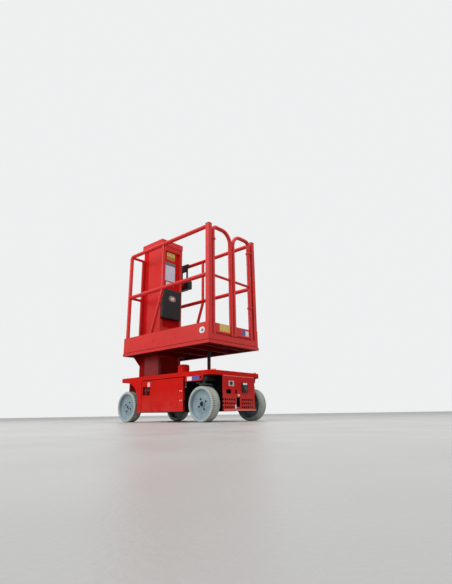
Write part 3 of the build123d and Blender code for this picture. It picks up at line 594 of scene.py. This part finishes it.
# name, place along, out and up, width and height, film, body, corner radius
SIDE_SIGNS = (
    ("door_label", (-0.184, SIDE_FACE, 0.3560), (0.037, 0.045), pink_film, None, 0.003),
    ("apron_label_white", (0.398, SIDE_FACE, 0.3775), (0.062, 0.034), white_film, "chassis", 0.003),
    ("apron_label_blue", (0.4775, SIDE_FACE, 0.3775), (0.084, 0.036), blue_film, "chassis", 0.003),
    ("toe_label_rim", (0.544, 0.367, 0.808), (0.070, 0.058), white_film, "platform", 0.027),
    ("toe_label_mark", (0.549, 0.3677, 0.806), (0.030, 0.026), dark_film, "platform", 0.012),
)
for side, way in SIDES:
    for name, (x, y, z), size, colour, body, radius in SIDE_SIGNS:
        label(f"{name}_{side}", (x, way * y, z), size, colour, body or f"door_{side}", radius, facing=side)


# Nose plate: a framed socket, a rotary switch in a black box, a painted highlight along its top edge and two
# small tags, with the bulkhead's bolts behind it, pale as a painted highlight.
# The switch's box and the socket's frame are moulded.
black_case = moulded("black_case", (0.014, 0.014, 0.015), (0.30, 0.5), Specular_IOR_Level=0.25)
white_case = moulded("white_case", (0.50, 0.42, 0.41), (0.35, 0.55))
BULKHEAD_X = 0.322
# painted highlight: the bulkhead's bolts take the pale moulded finish
bolts("bulkhead_bolts", "front", [(BULKHEAD_X, y, z) for y in (-0.352, 0.352) for z in (0.310, 0.337)],
      0.0085, white_case, "chassis")
dress("switch_box", "power_switch", black_case, "chassis", 0.002)
switch_low, switch_high = extent("power_switch")
switch = (switch_low + switch_high) / 2
KNOB_HIGH = 0.0095
knob = turned([(0, 0), (0.022, 0), (0.022, 0.003), (0.0195, 0.0045), (0.0195, KNOB_HIGH - 0.002),
               (0.0175, KNOB_HIGH), (0, KNOB_HIGH)], 48)
lever = slab(rounded(0.010, 0.034, 0.004), KNOB_HIGH, KNOB_HIGH + 0.002)
knob_place = (switch_high[0], switch[1], switch[2] - 0.012)
part("switch_knob", laid(joined([knob, lever]), knob_place, *FACING["front"]),
     moulded("dark_knob", (0.055, 0.05, 0.05), (0.3, 0.5)), "chassis", 25)
label("switch_label", (switch_high[0], switch[1] - 0.006, switch_high[2] - 0.011), (0.062, 0.017), white_film,
      "chassis", 0.002)

SOCKET = (nose_x, -0.119, 0.332)
label("socket_frame", (nose_x, -0.116, 0.331), (0.074, 0.048), white_case, "chassis", 0.006, 0.004)
hole = turned([(0.0125, 0.004), (0.0165, 0.004), (0.0165, 0.0075), (0.0155, 0.009), (0.0135, 0.009),
               (0.0125, 0.0078)], 36, True)
cap = turned([(0, 0.0035), (0.0125, 0.0035), (0.0125, 0.0052), (0, 0.0052)], 36)
part("socket_ring", laid(joined([hole, cap]), SOCKET, *FACING["front"]), black_case, "chassis")

# painted highlight along the nose plate's top edge
label("nose_plate_top_edge", (nose_x, 0.0, 0.3985), (0.446, 0.006), highlight_red, "chassis", 0.001)
label("tag_pale", (nose_x, -0.0085, 0.2295), (0.030, 0.019), pink_film, "chassis")
label("tag_small", (nose_x, -0.0555, 0.127), (0.022, 0.035), white_film, "chassis")


# Wheels: grey non-marking rubber pressed on steel rims, with a flat disc, four nuts and a capped hub.
# The rubber is moulded with staggered shoulder grooves, the rim is painted blue-grey.
RUBBER_GREY = (0.42, 0.455, 0.435)
ROLLED_GREY = (0.350, 0.360, 0.310)
GROOVE_DIRT_AND_SHADE_GREY = (0.075, 0.075, 0.062)
RIM_GREY = (0.235, 0.325, 0.365)


def rubber_finish():
    """Grey rubber: mottled, browner where it rolls, dark in the grooves with dirt and painted shade, dull,
    with a fine moulded grain.
    """
    material, place = principled("grey_rubber", Specular_IOR_Level=0.3)
    rolled, sunk = (place.node("Attribute", {"attribute_name": name}, output="Fac")
                    for name in ("rolled", "sunk"))
    colour = mixed(blotches(place, 22.0, 0.0, 1.0, 6.0), shaded(RUBBER_GREY, 0.84), RUBBER_GREY)
    colour = mixed(rolled * blotches(place, 40.0, 0.5, 1.0, 5.0), colour, ROLLED_GREY)
    # the grooves darkened with dirt and painted shade
    colour = mixed(sunk * 0.8, colour, GROOVE_DIRT_AND_SHADE_GREY)
    specks = spots(place, 130.0, -1.6, 0.75)
    return coated(material, mixed(specks * 0.35, colour, (0.20, 0.20, 0.18)),
                  blotches(place, 30.0, 0.62, 0.85), bumped(noise(place, 600.0, 3.0), 0.0005))


def rim_finish():
    """Blue-grey enamel on pressed steel: slightly uneven, with scuffs that show dull."""
    material, place = principled("wheel_enamel", Coat_Weight=0.12, Coat_Roughness=0.2,
                                 Specular_IOR_Level=0.35)
    clouds = blotches(place, 16.0, 0.0, 1.0, 6.0)
    scuffs = spots(place, 90.0, -3.2, 1.2, 4.0)
    colour = mixed(clouds, shaded(RIM_GREY, 0.8), RIM_GREY)
    return coated(material, mixed(scuffs * 0.6, colour, (0.14, 0.14, 0.14)),
                  blotches(place, 40.0, 0.34, 0.58), bumped(clouds, 0.0006))


PITCHES = 48
GROOVE_DEPTH = 0.0040
GROOVE_START = 0.018
SHOULDER = 0.010
# a point looks rolled from this far inside the tread, and fully so this much further out
ROLLED_DEPTH, ROLLED_FADE = 0.010, 0.007
# place within one pitch, whether the outer and the inner shoulder's groove is there
PITCH = np.array(((0.0, 0, 0), (0.04, 1, 0), (0.28, 1, 0), (0.32, 0, 0),
                  (0.5, 0, 0), (0.54, 0, 1), (0.78, 0, 1), (0.82, 0, 0)))


def grooved_tyre(bead_radius, radius, half):
    """A closed section carried round: each point moves in by depth x share x pattern along its own normal,
    x = (r - d nr) cos t, y = (r - d nr) sin t, z - d nz, with the pattern of its shoulder at the angle t.
    It comes with how far each point rolls on the floor and how deep it is sunk in a groove, from 0 to 1."""
    wall = [(bead_radius, half - 0.003), (bead_radius + 0.0012, half - 0.0006), (bead_radius + 0.0055, half),
            (bead_radius + 0.0065, half - 0.0008), (bead_radius + 0.0078, half - 0.0008),
            (bead_radius + 0.0088, half)]
    rows = [(r, z, 0.0, 1.0, 0.0) for r, z in wall]
    for angle, share in ((90, 0.0), (72, 0.0), (54, 0.6), (36, 1.0), (18, 1.0), (0, 1.0)):
        c, s = math.cos(math.radians(angle)), math.sin(math.radians(angle))
        rows.append((radius - SHOULDER + SHOULDER * c, half - SHOULDER + SHOULDER * s, c, s, share))
    rows += [(radius, GROOVE_START + 0.0015, 1.0, 0.0, 1.0), (radius, GROOVE_START, 1.0, 0.0, 0.0),
             (radius, 0.0032, 1.0, 0.0, 0.0), (radius - 0.0018, 0.0022, 1.0, 0.0, 0.0)]
    upper = np.array(rows)
    lower = (upper * (1, -1, 1, -1, 1))[::-1]
    section = np.concatenate([upper, lower])[:, None]
    steps = (np.arange(PITCHES)[:, None] + PITCH[:, 0]).ravel()
    angle = steps * 2 * math.pi / PITCHES
    pattern = np.concatenate([np.repeat(np.tile(PITCH[:, column], PITCHES)[None], len(upper), 0)
                              for column in (1, 2)])
    depth = GROOVE_DEPTH * section[..., 4] * pattern
    r, z = section[..., 0] - depth * section[..., 2], section[..., 1] - depth * section[..., 3]
    points = np.stack([r * np.cos(angle), r * np.sin(angle), z + 0 * angle], -1)
    rolled = np.clip((r - radius + ROLLED_DEPTH) / ROLLED_FADE, 0.0, 1.0)
    values = {"rolled": rolled.ravel(), "sunk": (depth / GROOVE_DEPTH).ravel()}
    return (points.reshape(-1, 3), grid_faces(len(section), len(angle), True, True)), values


rubber, rim_enamel = rubber_finish(), rim_finish()
dark_nut = moulded("phosphated_steel", (0.008, 0.008, 0.009), (0.5, 0.7), Specular_IOR_Level=0.2)
NUT_COUNT = 4
NUT_SIZE = 0.0070
NUT_CIRCLE = 0.0475
PIN_BORE = 0.0185
# corner, direction in Y, top radius of the hub's collar, radius of its dark cap, first nut's angle in degrees
CORNERS = (("front_left", 1, 0.0245, 0.0220, 27), ("front_right", -1, 0.0245, 0.0220, 27),
           ("rear_left", 1, 0.0170, 0.0095, 64), ("rear_right", -1, 0.0170, 0.0095, 64))
for corner, way, collar, cap_radius, first_nut in CORNERS:
    low, high = extent(f"tyre_{corner}")
    centre, half = (low + high) / 2, (high[1] - low[1]) / 2
    tyre_radius = (high[2] - low[2]) / 2
    rim_low, rim_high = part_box(f"wheel_{corner}")
    rim_radius, rim_half = (rim_high[2] - rim_low[2]) / 2, (rim_high[1] - rim_low[1]) / 2
    axes = ((1, 0, 0), (0, 0, -way))
    tyre, values = grooved_tyre(rim_radius + 0.0003, tyre_radius, half)
    part(f"rubber_{corner}", weld(*laid(tyre, centre, *axes), values), rubber,
         f"wheel_{corner}", 25, [f"tyre_{corner}"])

    face = rim_half - 0.024
    rim = [(0.0, face + 0.008), (collar - 0.004, face + 0.008), (collar - 0.003, face + 0.0110),
           (collar, face + 0.0115), (collar + 0.003, face + 0.0100), (collar + 0.0060, face + 0.0015),
           (collar + 0.0085, face), (0.078, face), (0.081, face - 0.0012), (0.088, face - 0.0012),
           (0.091, face), (rim_radius - 0.014, face), (rim_radius - 0.010, face + 0.0015),
           (rim_radius - 0.0075, face + 0.006), (rim_radius - 0.0055, rim_half - 0.003),
           (rim_radius - 0.0035, rim_half - 0.0006), (rim_radius - 0.0018, rim_half),
           (rim_radius - 0.0004, rim_half - 0.0012), (rim_radius - 0.0004, -rim_half + 0.001),
           (rim_radius - 0.003, -rim_half), (rim_radius - 0.007, -rim_half + 0.001),
           (rim_radius - 0.007, face - 0.009), (0.036, face - 0.008), (0.034, face - 0.010),
           (0.034, -rim_half + 0.004), (0.033, -rim_half + 0.003), (PIN_BORE, -rim_half + 0.003),
           (PIN_BORE, face - 0.008), (0.0, face - 0.008)]
    part(f"rim_{corner}", laid(turned(rim, 96), centre, *axes), rim_enamel,
         f"wheel_{corner}", 30, [f"wheel_{corner}"])
    cap = turned([(0, face + 0.0078), (cap_radius, face + 0.0078), (cap_radius, face + 0.0105),
                  (0.9 * cap_radius, face + 0.0118), (0, face + 0.0120)], 48)
    nut_angles = [math.radians(first_nut) + 2 * math.pi * k / NUT_COUNT for k in range(NUT_COUNT)]
    dark = [laid(hex_nut(NUT_SIZE, NUT_SIZE), (NUT_CIRCLE * math.cos(a), NUT_CIRCLE * math.sin(a), face),
                 (1, 0, 0), (0, 1, 0)) for a in nut_angles]
    part(f"hub_and_nuts_{corner}", laid(joined([*dark, cap]), centre, *axes), dark_nut,
         f"wheel_{corner}", 20)


# Axles and steering gear: forged knuckles, tie rod and beams, all in satin black chassis paint.
# Each is the frame's own solid with its machined edges broken.
def black_steel(name):
    """Satin black paint over forged steel: slightly brown where it has rubbed, with a coarse skin."""
    material, place = principled(name, Specular_IOR_Level=0.4)
    worn = spots(place, 60.0, -1.5, 0.9, 5.0)
    return coated(material, mixed(worn * 0.5, (0.014, 0.014, 0.016), (0.05, 0.04, 0.035)),
                  blotches(place, 50.0, 0.38, 0.62), bumped(noise(place, 240.0, 3.0), 0.0006))


forged = black_steel("black_chassis_paint")
steel_edge = moulded("rubbed_steel_edges", (0.09, 0.085, 0.08), (0.3, 0.5), Metallic=0.5)
for name, node, body in (("front_beam", "front_axle", "chassis"), ("rear_tube", "rear_axle", "chassis"),
                         ("knuckle_forging_left", "knuckle_left", "steer_left"),
                         ("knuckle_forging_right", "knuckle_right", "steer_right"),
                         ("steering_rod", "tie_rod", "tie_rod")):
    dress(name, node, forged, body, 0.0012, steel_edge)


# Battery pack: a block a side behind the doors, with two lid rims, ribs down its face and four terminals.
# Moulded in a dark grey that dust has dulled.
battery_skin = moulded("battery_skin", (0.045, 0.047, 0.052), (0.4, 0.6))
dress("battery_blocks", "battery_pack", battery_skin, "chassis", 0.004)
pack_low, pack_high = extent("battery_pack")
middle_x = (pack_low[0] + pack_high[0]) / 2
RIBS, RIB_INSET, RIB_MIDDLE = 13, 0.03, 0.190
# the lid rims are this far from the block's middle, at this height
RIM_SPREAD, RIM_MIDDLE = 0.120, 0.303
TERMINAL_Y = 0.300
for side, way in SIDES:
    face = way * pack_high[1]
    ribs = [laid(slab(rounded(0.008, 0.170, 0.003), -0.0002, 0.003), (x, face, RIB_MIDDLE), *FACING[side])
            for x in np.linspace(pack_low[0] + RIB_INSET, pack_high[0] - RIB_INSET, RIBS)]
    rims = [laid(slab(rounded(0.226, 0.030, 0.004), -0.0002, 0.005), (middle_x + x, face, RIM_MIDDLE),
                 *FACING[side]) for x in (-RIM_SPREAD, RIM_SPREAD)]
    part(f"battery_ribs_{side}", joined(ribs + rims), battery_skin, "chassis")
    bolts(f"battery_terminals_{side}", "up",
          [(middle_x + x, way * TERMINAL_Y, pack_high[2]) for x in (-0.200, -0.040, 0.040, 0.200)],
          0.0090, zinc, "chassis")


# Mast: a fixed channel, two sliding sections and the wide front column under a pressed hood.
# Long folded sections in red powder coat, the sliding ones darker, and the channel, the slides and the column
# darkened with painted shade below the platform's underside; slide pads in black nylon.
# the channel and the slides take painted shade below the platform's underside
red_base = red_enamel("red_enamel_mast_base", (0.58, 0.007, 0.008), 0.0, 0.02, shade_below=FLOOR_UNDERSIDE)
mast_red = red_enamel("red_enamel_slides", DEEP_RED, 0.0, 0.22, shade_below=FLOOR_UNDERSIDE)
nylon = moulded("black_nylon", (0.022, 0.022, 0.024), (0.3, 0.45))
PAD_REACH, PAD_INSIDE_Y = 0.0905, 0.1185
pads_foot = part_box("mast_stage_2")[1][2] - PAD_REACH
# the front face of the column's web, set back between the ribs
WEB_X = -0.337


def slide_pads(at, way):
    """The faces of the pads at the top of a section, out beyond its side walls."""
    return (at[:, 2] > pads_foot) & (np.abs(at[:, 1]) > PAD_INSIDE_Y)


def column_web(at, way):
    """The faces of the column's web that look forward."""
    return (way[:, 0] > 0.5) & (at[:, 0] < WEB_X + 0.002)


dress("mast_channel", "mast_base", red_base, "chassis", 0.0015, red_edge)
dress("slide_one", "mast_stage_1", mast_red, "mast_stage_1", 0.0012)
dress("slide_two", "mast_stage_2", mast_red, "mast_stage_2", 0.0012, zones=[(nylon, slide_pads)])
dress("column_section", "mast_column", red_column, "platform", 0.0018, red_edge, [(red_base, column_web)])
dress("hood_pressing", "mast_hood", red, "platform", 0.0015, red_edge)

column_low, column_high = extent("mast_column")
floor_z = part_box("platform_floor")[1][2]
STRIP_REAR = -0.359
STRIP_THICK = 0.0015
for side, way in (("left", 1), ("right", -1)):
    inner, outer = way * column_high[1], way * (column_high[1] + STRIP_THICK)
    strip = [(STRIP_REAR, inner), (column_high[0], inner), (column_high[0], outer), (STRIP_REAR, outer)]
    for name, foot, head in (("upper", floor_z, column_high[2]),
                             ("lower", column_low[2], FLOOR_UNDERSIDE - 0.0005)):
        part(f"column_strip_{name}_{side}", slab(strip, foot, head), red_column, "platform")

# name, place across and up, width and height, film
COLUMN_SIGNS = (
    ("yellow", -0.004, 1.893, (0.126, 0.048), yellow_film),
    ("amber", -0.004, 1.846, (0.126, 0.044), amber_film),
    ("band", -0.009, 1.7735, (0.148, 0.043), dark_film),
    ("field", -0.009, 1.656, (0.148, 0.190), pale_film),
    ("foot", -0.009, 1.527, (0.120, 0.040), white_film),
)
for name, y, z, size, colour in COLUMN_SIGNS:
    label(f"column_sign_{name}", (WEB_X, y, z), size, colour, "platform")

hood_low, hood_high = extent("mast_hood")
HOOD_SCREW_RISE = 0.030
for side, way in SIDES:
    bolts(f"hood_screws_{side}", side,
          [(x, way * hood_high[1], hood_low[2] + HOOD_SCREW_RISE) for x in (-0.62, -0.49, -0.36)],
          0.0045, red_edge, "platform")


# Document box: a moulded black case with a lift-up lid for the machine's papers, a blank badge on its front.
# It is screwed to the column's web through the corners of its foot.
dress("document_case", "document_box", black_case, "platform", 0.004)
box_low, box_high = extent("document_box")
box_y = (box_low[1] + box_high[1]) / 2
badge_x = box_high[0] - 0.0012
BADGE_THICK = 0.0014
SCREW_SPREAD = 0.118
label("document_lid", (box_high[0] - 0.0004, box_y, box_high[2] - 0.0240), (0.262, 0.036), black_case,
      "platform", 0.008, 0.0025)
bolts("document_box_screws", "front",
      [(box_high[0] - 0.0058, box_y + y, box_low[2] + 0.022) for y in (-SCREW_SPREAD, SCREW_SPREAD)],
      0.0040, dark_nut, "platform")
label("document_badge_rim", (badge_x, -0.020, 1.332), (0.106, 0.068), film("badge_film", (0.30, 0.17, 0.15)),
      "platform", 0.034, BADGE_THICK)
label("document_badge_field", (badge_x + 0.0012, -0.018, 1.333), (0.050, 0.030), white_film,
      "platform", 0.013)


# Control box: a black steel case with buttons and a stick, hung on the left rail by a plate with a window.
# The stop button is a red mushroom head, the others grey caps.
stop_red = moulded("stop_button_red", (0.55, 0.010, 0.008), (0.15, 0.3), 0.0001)
grey_cap = moulded("grey_button", (0.30, 0.31, 0.32), (0.3, 0.45), 0.0001)
RECESS_FLOOR_Y, BUTTON_Z = 0.2535, 1.578


def button(x, reach):
    """The faces of a button at this place along the case, out of the recess floor."""
    return lambda at, way: ((np.abs(at[:, 0] - x) < reach) & (np.abs(at[:, 2] - BUTTON_Z) < reach)
                            & (at[:, 1] < RECESS_FLOOR_Y))


dress("control_case", "control_box", black_case, "platform", 0.0012,
      zones=[(grey_cap, button(-0.4995, 0.012)), (grey_cap, button(-0.4635, 0.012)),
             (stop_red, button(-0.3975, 0.0195))])


# Platform: welded rim and cross bars, toe boards and a chequered floor sheet.
# The floor's raised lozenges are rolled into the sheet, alternately turned by 45 degrees.
RIM_CENTRE_X = -0.017
# half the clear length and width inside the rim, and the height at which the sheet lies on the bars
RIM_INSIDE_X, RIM_INSIDE_Y = 0.645, 0.3655
SHEET_Z = 0.747


def facing_down(at, way):
    """The faces that look at the ground, and those inside the rim: they take painted shade."""
    inside = (np.abs(at[:, 1]) < RIM_INSIDE_Y) & (np.abs(at[:, 0] - RIM_CENTRE_X) < RIM_INSIDE_X)
    return (way[:, 2] < -0.5) | (inside & (at[:, 2] < SHEET_Z))


dress("platform_rim", "platform_frame", red, "platform", 0.0008, zones=[(painted_shade_red, facing_down)])
dress("toe_sheets", "toe_boards", red, "platform", 0.0008, red_edge)
# the floor sheet in the near-black red of painted shade
dress("floor_sheet", "platform_floor", painted_shade_red, "platform", 0.0)
for side in ("left", "right"):
    dress(f"post_tube_{side}", f"front_post_{side}", red, "platform", 0.002, red_edge)
dress("post_cap_pair", "post_caps", black_case, "platform", 0.0012)

LOZENGE = (0.028, 0.007, 0.0012)
LOZENGE_PITCH = 0.040


def lozenges(low, high, z):
    """Raised lozenges on a square pitch, turned by 45 and -45 degrees in turn: each is six points round its
    foot and two along its ridge, x = cx + u cos t - v sin t, y = cy + u sin t + v cos t."""
    length, width, height = LOZENGE
    foot = [(-0.5, 0, 0), (-0.25, -0.5, 0), (0.25, -0.5, 0), (0.5, 0, 0), (0.25, 0.5, 0), (-0.25, 0.5, 0)]
    ridge = [(-0.28, 0, 1), (0.28, 0, 1)]
    shape = np.array(foot + ridge) * (length, width, height) - (0, 0, 0.0002)
    faces = np.array([(0, 1, 6), (3, 7, 2), (3, 4, 7), (0, 6, 5)]), np.array([(1, 2, 7, 6), (4, 5, 6, 7)])
    x = np.arange(low[0], high[0], LOZENGE_PITCH) + LOZENGE_PITCH / 2
    y = np.arange(low[1], high[1], LOZENGE_PITCH) + LOZENGE_PITCH / 2
    column, row = np.meshgrid(np.arange(len(x)), np.arange(len(y)), indexing="ij")
    turn = np.where((column + row).ravel() % 2, -math.pi / 4, math.pi / 4)[:, None]
    u, v = shape[:, 0], shape[:, 1]
    points = np.stack([x[column.ravel()][:, None] + u * np.cos(turn) - v * np.sin(turn),
                       y[row.ravel()][:, None] + u * np.sin(turn) + v * np.cos(turn),
                       z + shape[:, 2] + 0 * turn], -1)
    start = 8 * np.arange(len(points))[:, None, None]
    under = (np.arange(6)[::-1] + start[..., 0]).tolist()
    sides = [face for kind in faces for face in (kind + start).reshape(-1, kind.shape[1]).tolist()]
    return points.reshape(-1, 3), sides + under


worn_floor = red_enamel("red_enamel_worn_floor", (0.42, 0.03, 0.025), 0.0, 0.25)
lozenge_low, lozenge_high = (-0.290, -0.335), (0.590, 0.335)
part("floor_lozenges", lozenges(lozenge_low, lozenge_high, floor_z), worn_floor, "platform")


# Guard rails: round steel tube, mitred and welded, with one bend down into the rear post
# and a leaning stanchion. Each tube is a circle carried along its centre line.
def route(corners, bend, step=8.0):
    """Straight runs joined by arcs: each corner is cut back by bend x tan(half the turn), and the arc's
    points are centre - n bend cos a + d bend sin a, with d the run before it and n its inner normal."""
    corners = np.array(corners, float)
    path = [corners[0]]
    for before, at, after in zip(corners[:-2], corners[1:-1], corners[2:]):
        first = (at - before) / np.linalg.norm(at - before)
        second = (after - at) / np.linalg.norm(after - at)
        turn = math.acos(np.clip(first @ second, -1.0, 1.0))
        inner = second - first * math.cos(turn)
        inner /= np.linalg.norm(inner)
        begin = at - first * bend * math.tan(turn / 2)
        angle = np.linspace(0.0, turn, max(3, int(math.degrees(turn) / step)))[:, None]
        path.extend(begin + inner * bend * (1 - np.cos(angle)) + first * bend * np.sin(angle))
    path.append(corners[-1])
    return np.array(path)


def pipe(path, radius, sides=24):
    """A tube along a path: rings centre + radius (n cos a + b sin a), where b is the normal of the path's
    plane and n = b x tangent, closed by flat ends."""
    path = np.asarray(path, float)
    runs = np.diff(path, axis=0)
    runs /= np.linalg.norm(runs, axis=1)[:, None]
    tangent = np.vstack([runs[:1], runs[:-1] + runs[1:], runs[-1:]])
    tangent /= np.linalg.norm(tangent, axis=1)[:, None]
    flat = np.linalg.svd(path - path.mean(0))[2][-1]
    normal = np.cross(flat, tangent)
    normal /= np.linalg.norm(normal, axis=1)[:, None]
    angle = np.linspace(0.0, 2 * math.pi, sides, endpoint=False)[:, None]
    rings = path[:, None] + radius * (normal[:, None] * np.cos(angle) + flat * np.sin(angle))
    last = (len(path) - 1) * sides
    ends = [list(range(sides)), list(range(last, last + sides))]
    return rings.reshape(-1, 3), grid_faces(len(path), sides, False, True) + ends


# how many ripples a weld has round its tube, and how deep they are as a share of its thickness
RIPPLES, RIPPLE_SHARE = 16, 0.18


def bead(at, along, radius, other, size=0.0028, steps=48):
    """A weld round the end of a tube that meets a round one: x = r cos t, y = r sin t and
    z = sqrt(R^2 - (r sin t)^2) from the other tube's centre line, as a thin closed tube that ripples."""
    along = np.array(along, float) / np.linalg.norm(along)
    side_way = np.array((0.0, 0.0, 1.0)) if abs(along[2]) < 0.5 else np.array((0.0, 1.0, 0.0))
    third = np.cross(along, side_way)
    angle = np.linspace(0.0, 2 * math.pi, steps, endpoint=False)[:, None]
    rise = np.sqrt(np.maximum(other ** 2 - (radius * np.sin(angle)) ** 2, 0.0))
    outward = np.cos(angle) * third + np.sin(angle) * side_way
    middle = np.array(at) + along * rise + radius * outward
    ring = np.linspace(0.0, 2 * math.pi, 6, endpoint=False)
    thick = size * (1 + RIPPLE_SHARE * np.cos(RIPPLES * angle))
    points = (middle[:, None] + thick[:, None] * (outward[:, None] * np.cos(ring)[None, :, None]
                                                  + along * np.sin(ring)[None, :, None]))
    return points.reshape(-1, 3), grid_faces(steps, len(ring), True, True)


TUBE = 0.021
STANCHION = 0.017
END_TUBE = 0.015
INNER_POST = 0.014
RAIL_BEND = 0.036
END_INSET = RAIL_BEND * (1 - math.sqrt(0.5))
# side, direction, place of the stanchion along the rail
GUARDS = (("left", 1, -0.138), ("right", -1, -0.068))
MID_RAIL_DROP = 0.5
STANCHION_LEAN, STANCHION_BEND = 0.215, 0.18
for side, way, stanchion_x in GUARDS:
    low, high = extent(f"guard_{side}")
    y = way * (max(abs(low[1]), abs(high[1])) - TUBE)
    top, rear = high[2] - TUBE, low[0] + TUBE
    middle = top - MID_RAIL_DROP
    front = high[0]
    inner = way * (min(abs(low[1]), abs(high[1])) + INNER_POST)
    lean_x = stanchion_x - STANCHION_LEAN
    end_x, end_top = rear + END_INSET, top - END_INSET
    tubes = [
        pipe(route([(front, y, top), (rear, y, top), (rear, y, floor_z)], RAIL_BEND), TUBE),
        pipe(route([(front, y, middle), (rear, y, middle)], 0.0), TUBE),
        pipe(route([(stanchion_x, y, top), (stanchion_x, y, middle - TUBE), (lean_x, y, floor_z)],
                   STANCHION_BEND), STANCHION),
        pipe([(end_x, y, end_top), (end_x, inner, end_top)], END_TUBE),
        pipe([(rear, y, middle), (rear, inner, middle)], END_TUBE),
        pipe([(rear, inner, end_top + END_TUBE), (rear, inner, floor_z)], INNER_POST),
        bead((rear, y, middle), (1, 0, 0), TUBE, TUBE),
        bead((stanchion_x, y, top), (0, 0, -1), STANCHION, TUBE),
        bead((rear, y, middle), (0, -way, 0), END_TUBE, TUBE),
        bead((end_x, y, end_top), (0, -way, 0), END_TUBE, TUBE),
        bead((rear, inner, middle), (0, way, 0), END_TUBE, INNER_POST),
    ]
    part(f"rail_tubes_{side}", joined(tubes), red, "platform", 40, [f"guard_{side}"])


# Gates: a bent tube frame with a mid rail and a kick sheet, hung in the rings of the front posts on collars.
# Both swing inwards and meet in the middle. Each kick sheet carries blank signs and a rubber lip at its foot.
GATE_TUBE = 0.020
GATE_CROSS = 0.013
GATE_SHOULDER = 0.136
GATE_BEND, SHOULDER_BEND = 0.045, 0.118
GATE_MID_RAIL = 0.6
KICK_TOP = 0.885
KICK_SHEET = 0.003
RING_TOPS = (1.118, 1.728)
# the rubber lip ends this far from the hinge line, outside the lug that carries the gate
LIP_STOP = 0.0325
LIP_DROP, LIP_GRIP = 0.0070, 0.0120
for side, way in (("left", 1), ("right", -1)):
    low, high = extent(f"gate_{side}")
    x = (low[0] + high[0]) / 2
    outer = way * (max(abs(low[1]), abs(high[1])) - GATE_TUBE)
    inner = way * (min(abs(low[1]), abs(high[1])) + GATE_TUBE)
    foot, top = low[2], high[2] - GATE_TUBE
    turn_y = outer - way * GATE_SHOULDER
    middle = floor_z + GATE_MID_RAIL
    tubes = [
        pipe(route([(x, outer, foot), (x, outer, top), (x, turn_y, top)], GATE_BEND), GATE_TUBE),
        pipe(route([(x, turn_y, top), (x, inner, top), (x, inner, foot)], SHOULDER_BEND), GATE_TUBE),
        pipe([(x, outer, middle), (x, inner, middle)], GATE_CROSS),
        pipe([(x, outer, foot + GATE_TUBE), (x, inner, foot + GATE_TUBE)], GATE_CROSS),
    ]
    for height in (middle, foot + GATE_TUBE):
        tubes.append(bead((x, outer, height), (0, -way, 0), GATE_CROSS, GATE_TUBE))
        tubes.append(bead((x, inner, height), (0, way, 0), GATE_CROSS, GATE_TUBE))
    part(f"gate_frame_{side}", joined(tubes), red, f"gate_{side}", 40, [f"gate_{side}"])
    kick = slab([(inner, foot), (outer, foot), (outer, KICK_TOP), (inner, KICK_TOP)],
                -KICK_SHEET / 2, KICK_SHEET / 2)
    part(f"gate_kick_{side}", laid(kick, (x, 0, 0), *FACING["front"]), red, f"gate_{side}")
    end, low_z, high_z = outer - way * LIP_STOP, foot - LIP_DROP, foot + LIP_GRIP
    lip = slab([(inner, low_z), (end, low_z), (end, high_z), (inner, high_z)], -0.0035, -0.0015)
    part(f"gate_lip_{side}", laid(lip, (x, 0, 0), *FACING["front"]), black_rubber, f"gate_{side}")
    bore = GATE_TUBE - 0.0005
    collar = [(bore, 0.0005), (0.0270, 0.0005), (0.0275, 0.0012), (0.0275, 0.0065), (0.0265, 0.0075),
              (bore, 0.0075)]
    collars = [laid(turned(collar, 40, True), (x, outer, z), *FACING["up"]) for z in RING_TOPS]
    part(f"gate_collars_{side}", joined(collars), red_edge, f"gate_{side}")

kick_x = x + KICK_SHEET / 2
label("gate_sign_yellow", (kick_x, -0.1195, 0.8455), (0.148, 0.076), yellow_film, "gate_right")
label("gate_sign_blue", (kick_x, 0.1675, 0.836), (0.050, 0.058), blue_film, "gate_left")
label("gate_sign_white", (kick_x, 0.2200, 0.836), (0.052, 0.058), white_film, "gate_left")
